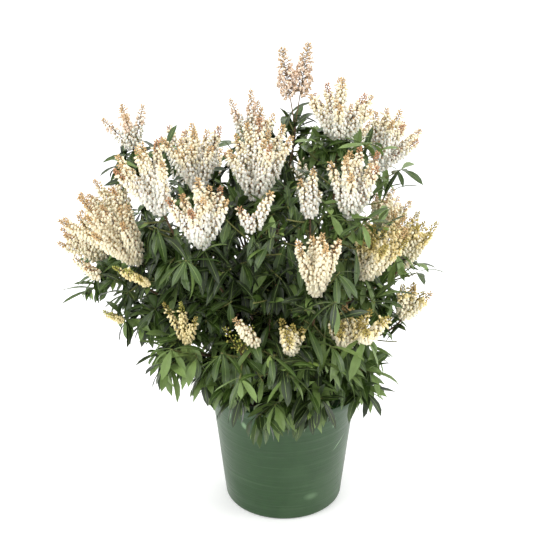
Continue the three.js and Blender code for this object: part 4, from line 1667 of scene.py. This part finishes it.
@dataclass
class Strand:
    """The flowers of one raceme: each one's share of the way along it, and the way that it stands out."""

    look: BloomLook
    way: Array
    share: Array
    out: Array

    @classmethod
    def dealt(cls, look: BloomLook, way: Array, count: int, draws: Generator) -> "Strand":
        """Deals flowers along a raceme and round it, singly or in clusters.

        Args:
            look: How they look.
            way: The way that the raceme points.
            count: How many there are.
            draws: The head's sequence.

        Returns:
            The flowers.
        """
        group = np.arange(count) // look.cluster
        groups = int(group[-1]) + 1
        share = ((np.arange(groups) + draws.uniform(0, 0.8, groups)) / groups)[group]
        share = share * (1.25 - 0.25 * share)
        across, over = across_ways(way, ASIDE_UP)
        turn = (GOLDEN_TURN * np.arange(groups) + draws.uniform(-0.35, 0.35, groups))[group]
        return cls(look, way, share, across * np.cos(turn)[:, None] + over * np.sin(turn)[:, None])

    def steps(self, holder_reach: float, cluster_spread: float, draws: Generator) -> Array:
        """The step from the raceme's stalk to each flower, shorter at its foot and towards its tip.

        Args:
            holder_reach: How far a flower stalk reaches where the raceme is widest.
            cluster_spread: How far the flowers of a cluster stray.
            draws: The head's sequence.

        Returns:
            One step a flower.
        """
        look = self.look
        past = np.clip((self.share - look.narrows_at) / (1 - look.narrows_at), 0, 1)
        taper = 1 - 0.8 * past**1.3
        foot = 0.7 + 0.3 * np.clip(self.share / 0.16, 0, 1)
        reach = holder_reach * look.reach * taper * foot * draws.uniform(0.62, 1.1, len(self.share))
        step = (self.out + self.way * 0.3 + UP * 0.12) * reach[:, None]
        if look.cluster > 1:
            step += draws.normal(0, cluster_spread, step.shape) * taper[:, None]
        return step

    def ways(self, draws: Generator) -> Array:
        """The ways that the flowers point: open bells hang, and buds stand out along the raceme."""
        open_way = -UP + self.out * 0.34
        shut_way = self.out * 0.8 + self.way * 0.75
        ripe = np.clip((self.share - self.look.open_share + 0.14) / 0.26, 0, 1)[:, None]
        return unit(open_way * (1 - ripe) + shut_way * ripe + draws.normal(0, 0.13, self.out.shape))


@dataclass
class Blossom:
    """The racemes: stalks, flower stalks, calyces, hanging bells and buds."""

    skeleton: Skeleton
    bell_profile: tuple[Pair, ...] = ((0, 0.2), (2.8, 2.6), (2.25, 8.6), (0, 7.0))
    bud_profile: tuple[Pair, ...] = ((0, 0), (1.9, 2.0), (0, 5.6))
    calyx_profile: tuple[Pair, ...] = ((0, -0.9), (2.3, 1.5), (0, 0.6))
    stalk_profile: tuple[Pair, ...] = ((0, 0), (1, 0.35), (0, 1))
    flower_pitch: float = 1.0
    holder_reach: float = 8.4
    stalk_radius: float = 0.45
    cluster_spread: float = 2.6
    rachis_steps: int = 6
    rachis_radii: Pair = (1.15, 0.45)
    smaller: tuple[float, ...] = (1.0, 0.84, 0.7, 0.58)
    belly_share: float = 0.44
    belly_radius: float = 12.0
    least_room: float = 0.6
    limb_clearance: float = 1.0
    first_tint: float = 0.72
    full_length: float = 110.0
    calyx_sizes: Pair = (0.95, 0.62)  # on bells and on buds

    def __post_init__(self) -> None:
        """Makes the stamps."""
        self.stamps = {
            "bells": Stamp.read(turned(self.bell_profile, 5)),
            "buds": Stamp.read(turned(self.bud_profile, 5)),
            "calyces": Stamp.read(turned(self.calyx_profile, 4)),
            "flower_stalks": Stamp.read(turned(self.stalk_profile, 3)),
            "raceme_stalks": Stamp.read(upright_tube(4, self.rachis_steps)),
        }
        self.heaps: dict[tuple[str, str], Heap] = {}

    def heap(self, kind: str, tint: str) -> Heap:
        """The heap for one kind of part in one tint."""
        return self.heaps.setdefault((kind, tint), Heap(self.stamps[kind]))

    def grow(self) -> None:
        """Clothes every raceme."""
        for mass in self.skeleton.masses:
            random = SeededRandom(mass.seed + FLOWER_SEED)
            draws = default_rng(mass.seed)
            for spire in mass.spires + self.between(mass, random):
                self.clothe(mass, spire, LOOKS[mass.bloom], random, draws)
            for spire in mass.side_spires():
                self.clothe(mass, spire, LOOKS[mass.side_bloom or mass.bloom], random, draws)

    @staticmethod
    def between(mass: Mass, random: SeededRandom) -> list[Spire]:
        """Racemes that fill the fan of a full head, between its first ones.

        Args:
            mass: The mass.
            random: The head's sequence.

        Returns:
            The racemes.
        """
        if mass.bloom in (Bloom.BLUSH, Bloom.TALL, Bloom.GREEN):
            return []
        count = max(0, mass.racemes - 3) if mass.racemes < 6 else 3
        made = []
        for k in range(count):
            turn = FULL_TURN * (k + 0.5 + 0.2 * random()) / count
            tilt = mass.spread * random.between(0.45, 0.62)
            way = mass.axis + mass.across * (tilt * math.cos(turn)) + mass.over * (tilt * math.sin(turn))
            run = mass.length * random.between(0.78, 0.98)
            made.append(Spire(mass.centre, unit(way + UP * 0.1), run))
        return made

    def fits(self, mass: Mass, spire: Spire, length: float) -> bool:
        """Says whether a raceme keeps to its mass's space and clear of the pot and the limbs.

        Args:
            mass: The mass.
            spire: The raceme.
            length: Its length.

        Returns:
            True if it does.
        """
        across, over = across_ways(spire.way, ASIDE_UP)
        belly = spire.base + spire.way * length * self.belly_share
        ring = [belly + side * self.belly_radius for side in (across, -across, over, -over)]
        points = np.array([*ring, spire.base + spire.way * length])
        if mass.room_at(points).min() < self.least_room or not self.skeleton.clear_of_pot(points):
            return False
        return self.skeleton.limbs.clear(points, mass, self.limb_clearance)

    def clothe(
        self, mass: Mass, spire: Spire, look: BloomLook, random: SeededRandom, draws: Generator
    ) -> None:
        """Makes one raceme as long as it fits: its stalk, a little bent, and the flowers on it.

        Args:
            mass: The mass that the raceme belongs to.
            spire: The raceme.
            look: How its flowers look.
            random: The head's sequence, for what is settled raceme by raceme.
            draws: The head's sequence, for what is settled flower by flower.
        """
        lengths = [spire.length * share for share in self.smaller]
        length = next((length for length in lengths if self.fits(mass, spire, length)), None)
        if length is None:
            return
        tint = int(random() > self.first_tint)
        sag = UP * length * random.between(-0.05, 0.05)
        middle, tip = spire.base + spire.way * length * 0.5 - sag, spire.base + spire.way * length
        line = Curve((spire.base, middle, tip)).points(self.rachis_steps)
        radii = np.linspace(*self.rachis_radii, self.rachis_steps + 1)
        rachis = self.heap("raceme_stalks", look.holder[tint])
        rachis.add(along_line(rachis.stamp.corners, line, radii)[None], mass.name)
        self.flower(mass, spire.way, look, tint, line, length, draws)

    def flower(
        self, mass: Mass, way: Array, look: BloomLook, tint: int, line: Array, length: float, draws: Generator
    ) -> None:
        """Hangs a raceme's flowers on their stalks.

        Args:
            mass: The mass that the raceme belongs to.
            way: The way that it points.
            look: How its flowers look.
            tint: Which of the look's two tints its buds and calyces have.
            line: Points along its stalk.
            length: Its length.
            draws: The head's sequence.
        """
        count = int(length * (1 - look.bare_share) / self.flower_pitch * look.fullness)
        strand = Strand.dealt(look, way, count, draws)
        share = strand.share
        along = look.bare_share + (1 - look.bare_share) * share
        stations = np.linspace(0, 1, len(line))
        at = np.stack([np.interp(along, stations, line[:, k]) for k in range(3)], axis=1)
        end = at + strand.steps(self.holder_reach, self.cluster_spread, draws)
        hang = strand.ways(draws)
        size = look.size * (1.05 - 0.32 * share**2) * draws.uniform(0.9, 1.12, count)
        size *= 0.88 + 0.12 * min(1, length / self.full_length)
        frames = facing_frames(hang, draws.uniform(0, 6.28, count))

        opened = share + draws.normal(0, 0.04, count) < look.open_share
        low = opened & (share + draws.normal(0, 0.1, count) < look.open_share * 0.8)
        kinds = (
            ("bells", look.bell, low),
            ("bells", look.upper_bell, opened & ~low),
            ("buds", look.bud[tint], ~opened),
        )
        for kind, tone, chosen in kinds:
            heap = self.heap(kind, tone)
            heap.add(heap.stamp.press(end[chosen], frames[chosen], size[chosen]), mass.name)
        calyx = self.heap("calyces", look.holder[tint])
        sizes = size * np.where(opened, *self.calyx_sizes)
        calyx.add(calyx.stamp.press(end, frames, sizes), mass.name)
        self.hang_stalks(look.holder[tint], mass, at, end)

    def hang_stalks(self, holder: str, mass: Mass, start: Array, end: Array) -> None:
        """Adds the short stalks between a raceme's stalk and its flowers.

        Args:
            holder: Their tint.
            mass: The mass.
            start: Where each starts.
            end: Where each ends.
        """
        run = np.linalg.norm(end - start, axis=1)
        wide = np.full(len(run), self.stalk_radius)
        frames = facing_frames(unit(end - start), np.zeros(len(run)))
        heap = self.heap("flower_stalks", holder)
        heap.add(heap.stamp.press(start, frames, np.stack([wide, wide, run], axis=1)), mass.name)

    def dress(self) -> None:
        """Writes the pieces, each kind and tint apart."""
        petals = {
            "white": PetalFinish("bell_white", linear(255, 248, 234), depth=0.3),
            "cream": PetalFinish("bell_cream", linear(251, 238, 207), depth=0.25),
            "straw": PetalFinish("bell_straw", linear(244, 226, 170), depth=0.2),
            "blush": PetalFinish("bell_blush", linear(236, 212, 190), depth=0.15),
        }
        holders = {
            "tan": PetalFinish("holder_tan", linear(200, 167, 117), 0.6, 0.16, 0.05),
            "rust": PetalFinish("holder_rust", linear(177, 130, 91), 0.6, 0.18, 0.05),
            "olive": PetalFinish("holder_olive", linear(172, 155, 78), 0.6, 0.16, 0.05),
            "green": PetalFinish("bud_green", linear(184, 184, 86), 0.55, 0.14, 0.08),
        }
        # Stalks take the holders' colour toned down to a third: partly their own darker colour, partly
        # painted shade for the gaps between the bells.
        stalks = {
            tint: PetalFinish(f"stalk_{tint}", toned(finish.colour, 0.34), 0.6, 0.16, 0.05)
            for tint, finish in holders.items()
        }
        made: dict[str, Material] = {}
        for (kind, tint), heap in sorted(self.heaps.items()):
            finish = petals[tint] if kind == "bells" else (stalks if "stalks" in kind else holders)[tint]
            if finish.name not in made:
                made[finish.name] = finish.material()
            heap.dress(f"{kind}_{tint}", made[finish.name], "flowers")


# ---- Wood ----------------------------------------------------------------------------------------
@dataclass
class BarkedWood:
    """The trunk and the boughs, with furrowed bark."""

    skeleton: Skeleton
    foot_radius: float = 27.0
    waist_radius: float = 19.0
    lobes: int = 5
    flare: float = 0.16
    waist_height: float = 18.0
    furrow: float = 0.05
    bough_tip: float = 4.4
    trunk_sides: int = 60
    bough_sides: int = 14
    bough_steps: int = 44

    def furrowed(self, along: float, around: float, seed: float) -> float:
        """How far the bark stands out, as a share of the radius: strings that wander along it."""
        strings = noise_round(around, 4, along * 0.035 + seed)
        fine = noise_round(around, 11, along * 0.08 + seed)
        return 1 + self.furrow * strings + self.furrow * 0.6 * fine

    def trunk(self) -> Mesh:
        """The short trunk on its lobed root flare."""
        plant = self.skeleton
        foot = plant.soil_top + plant.gap
        crown = plant.trunk_height - plant.crown_radius - plant.gap
        profile = [(0, 0), (self.foot_radius, 0), (self.foot_radius * 0.88, 5)]
        profile.append((self.waist_radius, self.waist_height))
        for angle in range(-30, 90, 10):
            a = math.radians(angle)
            profile.append((plant.crown_radius * math.cos(a), crown + plant.crown_radius * math.sin(a)))
        profile.append((0, crown + plant.crown_radius))
        shape = turned(profile, self.trunk_sides)
        slopes = [e for e in shape.edges if abs(e.verts[0].co.z - e.verts[1].co.z) > 4]
        bmesh.ops.subdivide_edges(shape, edges=slopes, cuts=4)
        for vert in shape.verts:
            radius, rise = vert.co.xy.length, vert.co.z / plant.trunk_height
            around = math.atan2(vert.co.y, vert.co.x)
            wide = 1 + self.flare * max(0, 1 - rise * 2.4) * math.cos(self.lobes * around)
            if radius > 1:
                wide *= self.furrowed(vert.co.z, around, 3.0)
            vert.co = (vert.co.x * wide + plant.trunk_lean * rise, vert.co.y * wide, vert.co.z + foot)
        return mesh_of(shape, "trunk_bark")

    def boughs(self) -> Mesh:
        """Every bough, each one tapering limb."""
        shape = bmesh.new()
        steps = self.bough_steps
        for number, bough in enumerate(self.skeleton.boughs.values()):
            limb = upright_tube(self.bough_sides, steps)
            line = bough.curve.points(steps)
            radii = np.linspace(bough.start_radius, self.bough_tip, steps + 1)
            radii[-1] *= 0.72
            corners = np.array([v.co for v in limb.verts])
            around = np.arctan2(corners[:, 1], corners[:, 0])
            run = float(np.linalg.norm(line[-1] - line[0]))
            pairs = zip(corners[:, 2], around)
            relief = np.array([self.furrowed(z * run, turn, number * 7.3) for z, turn in pairs])
            wide = radii[np.rint(corners[:, 2] * steps).astype(int)] * relief
            for vert, place in zip(limb.verts, along_line(corners, line, wide)):
                vert.co = place
            bmesh.ops.recalc_face_normals(limb, faces=limb.faces)
            part = bpy.data.meshes.new("limb")
            limb.to_mesh(part)
            limb.free()
            shape.from_mesh(part)
            bpy.data.meshes.remove(part)
        return mesh_of(shape, "bough_bark")

    def dress(self, finish: BarkFinish) -> None:
        """Writes the pieces in place of the solid trunk and boughs."""
        material = finish.material()
        trunk = set_piece("trunk_bark", self.trunk(), material)
        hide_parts("trunk")
        boughs = set_piece("bough_bark", self.boughs(), material)
        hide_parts(*[f"bough_{name}" for name in self.skeleton.boughs])


# ---- Pot and soil --------------------------------------------------------------------------------
@dataclass
class NurseryPot:
    """A round nursery pot with a turned-down lip and drain holes."""

    height: float = POT_HEIGHT
    base_radius: float = 115.0
    body_radius: float = 142.0
    lip_radius: float = LIP_RADIUS
    lip_drop: float = 15.0
    wall: float = 2.6
    floor: float = 4.0
    corner: float = 7.0
    inner_corner: float = 4.0
    neck: float = 10.0  # below the top, where the wall turns out into the lip
    middle_radius: float = 70.0
    wander: float = 0.0035
    sides: int = 128
    drains: int = 6
    drain_radius: float = 6.0
    drain_ring: float = 84.0

    def outer(self, height: float) -> float:
        """The wall's outer radius at a height."""
        share = (height - self.corner) / (self.height - self.neck - self.corner)
        return self.base_radius + (self.body_radius - self.base_radius) * share

    def inner(self, height: float) -> float:
        """The wall's inner radius at a height."""
        return self.outer(height) - self.wall

    def profile(self) -> list[Pair]:
        """The pot's section, from the middle of its underside round to the middle of its floor."""
        top, foot = self.height, self.height - self.lip_drop
        lip_in = self.lip_radius - self.wall - 1
        neck = top - self.neck
        points = [(0.0, 0.0), (self.middle_radius, 0.0), (self.base_radius - self.corner - 4, 0.0)]
        for step in range(1, 7):
            a = math.radians(90 * step / 6)
            inset, rise = self.corner * (1 - math.sin(a)), self.corner * (1 - math.cos(a))
            points.append((self.base_radius - inset, rise))
        points += [(self.outer(h), h) for h in range(20, 250, 10)]
        points += [(self.outer(neck), neck), (self.outer(neck) + 3, top - 7)]
        points += [(lip_in - 2, top - 6), (lip_in, top - 8), (lip_in, foot + 1)]
        points += [(lip_in + 0.8, foot), (self.lip_radius - 1.5, foot), (self.lip_radius - 0.8, foot + 1)]
        points += [(self.lip_radius, top - 5), (self.lip_radius - 0.6, top - 2)]
        points += [(self.lip_radius - 2.4, top - 0.5), (self.lip_radius - 5, top)]
        points += [(self.inner(top) + 5, top), (self.inner(top) + 1.5, top - 0.8)]
        points += [(self.inner(top - 4), top - 4)]
        points += [(self.inner(h), h) for h in range(240, 10, -20)]
        corner = self.floor + self.inner_corner
        points += [(self.inner(corner), corner), (self.inner(corner) - self.inner_corner, self.floor)]
        points += [(self.middle_radius, self.floor), (0.0, self.floor)]
        return points

    def mesh(self) -> Mesh:
        """Turns the pot, lets its wall wander a little and drills it."""
        shape = turned(self.profile(), self.sides)
        for vert in shape.verts:
            if 12 < vert.co.z < self.height - 20:
                around = math.atan2(vert.co.y, vert.co.x)
                vert.co.xy *= 1 + self.wander * noise_round(around, 1.6, vert.co.z * 0.013)
        body = mesh_of(shape, "pot_shell")
        drills = bmesh.new()
        for k in range(self.drains):
            x, y, _ = polar(360 * k / self.drains, self.drain_ring, 0)
            bmesh.ops.create_cone(
                drills, cap_ends=True, segments=28, radius1=self.drain_radius,
                radius2=self.drain_radius, depth=self.floor * 3,
                matrix=Matrix.Translation((x, y, self.floor / 2)),
            )
        return drilled(body, mesh_of(drills, "drain_drills", False))

    def dress(self, finish: PotFinish) -> None:
        """Writes the pot in place of its solid."""
        mesh = self.mesh()
        mesh.set_sharp_from_angle(angle=math.radians(38))
        piece = set_piece("nursery_pot", mesh, finish.material())
        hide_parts("pot")


def drilled(body: Mesh, tool: Mesh) -> Mesh:
    """Cuts one mesh out of another.

    Args:
        body: The mesh that is cut.
        tool: The mesh that cuts it, which is then removed.

    Returns:
        The cut mesh.
    """
    scene = bpy.context.scene.collection
    blank, cutter = (bpy.data.objects.new(m.name, m) for m in (body, tool))
    scene.objects.link(blank)
    scene.objects.link(cutter)
    cut = blank.modifiers.new("drill", "BOOLEAN")
    cut.operation, cut.object, cut.solver = "DIFFERENCE", cutter, "EXACT"
    made = bpy.data.meshes.new_from_object(blank.evaluated_get(bpy.context.evaluated_depsgraph_get()))
    for gone in (blank, cutter):
        bpy.data.objects.remove(gone)
    for mesh in (body, tool):
        bpy.data.meshes.remove(mesh)
    return made


@dataclass
class PottingSoil:
    """The compost that fills the pot, its top uneven and strewn with bits of bark."""

    pot: NurseryPot
    top: float = SOIL_TOP
    edge_drop: float = 4.0
    flat_radius: float = 34.0
    gap: float = GAP
    rings: int = 26
    sides: int = 110
    bits: int = 420
    bit_sizes: Pair = (1.2, 4.2)

    def mesh(self) -> Mesh:
        """The body of compost."""
        pot = self.pot
        foot, corner = pot.floor + self.gap, pot.floor + pot.inner_corner + self.gap
        edge = self.top - self.edge_drop
        rim = pot.inner(edge) - self.gap * 2
        profile = [
            (0, foot),
            (pot.inner(corner) - pot.inner_corner - self.gap * 2, foot),
            (pot.inner(corner) - self.gap * 2, corner),
            (rim, edge),
        ]
        for k in range(1, self.rings):
            radius = rim + (self.flat_radius - rim) * k / self.rings
            profile.append((radius, edge + (self.top - edge) * k / self.rings))
        profile += [(self.flat_radius, self.top), (self.flat_radius * 0.5, self.top), (0, self.top)]
        shape = turned(profile, self.sides)
        for vert in shape.verts:
            radius = vert.co.xy.length
            if vert.co.z > edge - 0.5 and self.flat_radius - 4 < radius < rim - 0.5:
                bump = noise.fractal(vert.co * 0.09, 1.0, 2.0, 4)
                vert.co.z += min(2.2, max(-4.0, bump * 3.0 - 0.4))
        return mesh_of(shape, "potting_soil", False)

    def crumbs(self) -> Heap:
        """Bits of bark and grit that lie on the top."""
        shape = bmesh.new()
        bmesh.ops.create_icosphere(shape, subdivisions=1, radius=1.0)
        bmesh.ops.scale(shape, vec=(1.0, 0.62, 0.45), verts=shape.verts)
        heap = Heap(Stamp.read(shape, lambda a, b: True))
        draws = default_rng(41)
        radius = np.sqrt(draws.uniform(0.06, 0.9, self.bits)) * self.pot.inner(self.top)
        turn = draws.uniform(0, FULL_TURN, self.bits)
        origins = np.stack(
            [radius * np.cos(turn), radius * np.sin(turn), np.full(self.bits, self.top - 1.5)], axis=1
        )
        ways = unit(draws.normal(0, 1, (self.bits, 3)) * np.array([1, 1, 0.5]))
        frames = facing_frames(ways, draws.uniform(0, 6.28, self.bits))
        heap.add(heap.stamp.press(origins, frames, draws.uniform(*self.bit_sizes, self.bits)), "soil")
        return heap

    def dress(self, finish: SoilFinish) -> None:
        """Writes the compost in place of its solid."""
        piece = set_piece("potting_soil", self.mesh(), finish.material())
        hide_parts("soil")
        bits = BarkFinish("bark_bits", linear(92, 66, 46), linear(48, 34, 24), 600)
        self.crumbs().dress("soil_crumbs", bits.material(), "soil")


# ---- Studio --------------------------------------------------------------------------------------
@dataclass
class Studio:
    """The pale floor, the soft lamps and the camera, in metres."""

    eye: Place = (-0.014, -2.0, 1.35)
    tilt: float = 66.1
    lens: float = 76.49
    floor_size: float = 24.0
    lamp_aim: float = 0.45

    def camera(self) -> None:
        """Sets the camera."""
        data = bpy.data.cameras.new("camera")
        data.lens, data.sensor_width = self.lens, 36.0
        data.clip_start, data.clip_end = 0.05, 60.0
        camera = bpy.data.objects.new("camera", data)
        camera.location = self.eye
        camera.rotation_euler = (math.radians(self.tilt), 0.0, 0.0)
        bpy.context.scene.collection.objects.link(camera)
        bpy.context.scene.camera = camera

    def lamp(self, name: str, place: Place, size: float, power: float) -> None:
        """Adds a square soft lamp that faces the plant's middle.

        Args:
            name: Its name.
            place: Where it hangs.
            size: The length of its side.
            power: Its power in watts.
        """
        data = bpy.data.lights.new(name, "AREA")
        data.shape, data.size, data.energy = "SQUARE", size, power
        lamp = bpy.data.objects.new(name, data)
        lamp.location = place
        way = Vector((0, 0, self.lamp_aim)) - Vector(place)
        lamp.rotation_euler = way.to_track_quat("-Z", "Y").to_euler()
        bpy.context.scene.collection.objects.link(lamp)

    def build(self) -> None:
        """Lays the floor and hangs the lamps."""
        shape = bmesh.new()
        bmesh.ops.create_grid(shape, x_segments=8, y_segments=8, size=self.floor_size / 2)
        floor = bpy.data.objects.new("studio_floor", bpy.data.meshes.new("studio_floor"))
        shape.to_mesh(floor.data)
        shape.free()
        floor.data.materials.append(FloorFinish().material())
        bpy.context.scene.collection.objects.link(floor)
        self.lamp("left_lamp", (-2.2, -1.5, 2.3), 1.6, 44)
        self.lamp("right_lamp", (2.6, -0.8, 1.6), 1.4, 26)
        self.lamp("top_lamp", (0.2, -0.4, 3.2), 2.0, 30)
        self.lamp("back_lamp", (0.6, 2.6, 2.4), 1.6, 22)
        world = bpy.data.worlds.new("studio_air")
        world.use_nodes = True
        air = world.node_tree.nodes["Background"]
        air.inputs["Color"].default_value = (1.0, 1.0, 1.0, 1.0)
        air.inputs["Strength"].default_value = 1.05
        bpy.context.scene.world = world
        bpy.context.scene.view_settings.view_transform = "Standard"


def main() -> None:
    """Builds the studio and then the part, from the pot up."""
    logging.basicConfig(level=logging.INFO, format="%(name)s: %(message)s")
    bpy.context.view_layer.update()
    studio = Studio()
    studio.camera()
    studio.build()
    pot = NurseryPot()
    pot.dress(PotFinish())
    PottingSoil(pot).dress(SoilFinish())
    skeleton = Skeleton()
    BarkedWood(skeleton).dress(BarkFinish("bark", linear(124, 102, 80), linear(66, 50, 38)))
    foliage = Foliage(skeleton)
    foliage.grow()
    foliage.dress(
        {
            Tone.DEEP: LeafFinish("leaf_deep", linear(34, 49, 17)),
            Tone.MID: LeafFinish("leaf_mid", linear(56, 78, 27)),
            # grey leaves: a lighter grey-green, partly painted sheen
            Tone.GREY_SHEEN: LeafFinish("leaf_grey_sheen", linear(102, 125, 64), 0.42),
            Tone.YOUNG: LeafFinish("leaf_young", linear(112, 136, 58), 0.44),
        }
    )
    blossom = Blossom(skeleton)
    blossom.grow()
    blossom.dress()
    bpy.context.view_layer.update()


if __name__ == "__main__":
    main()
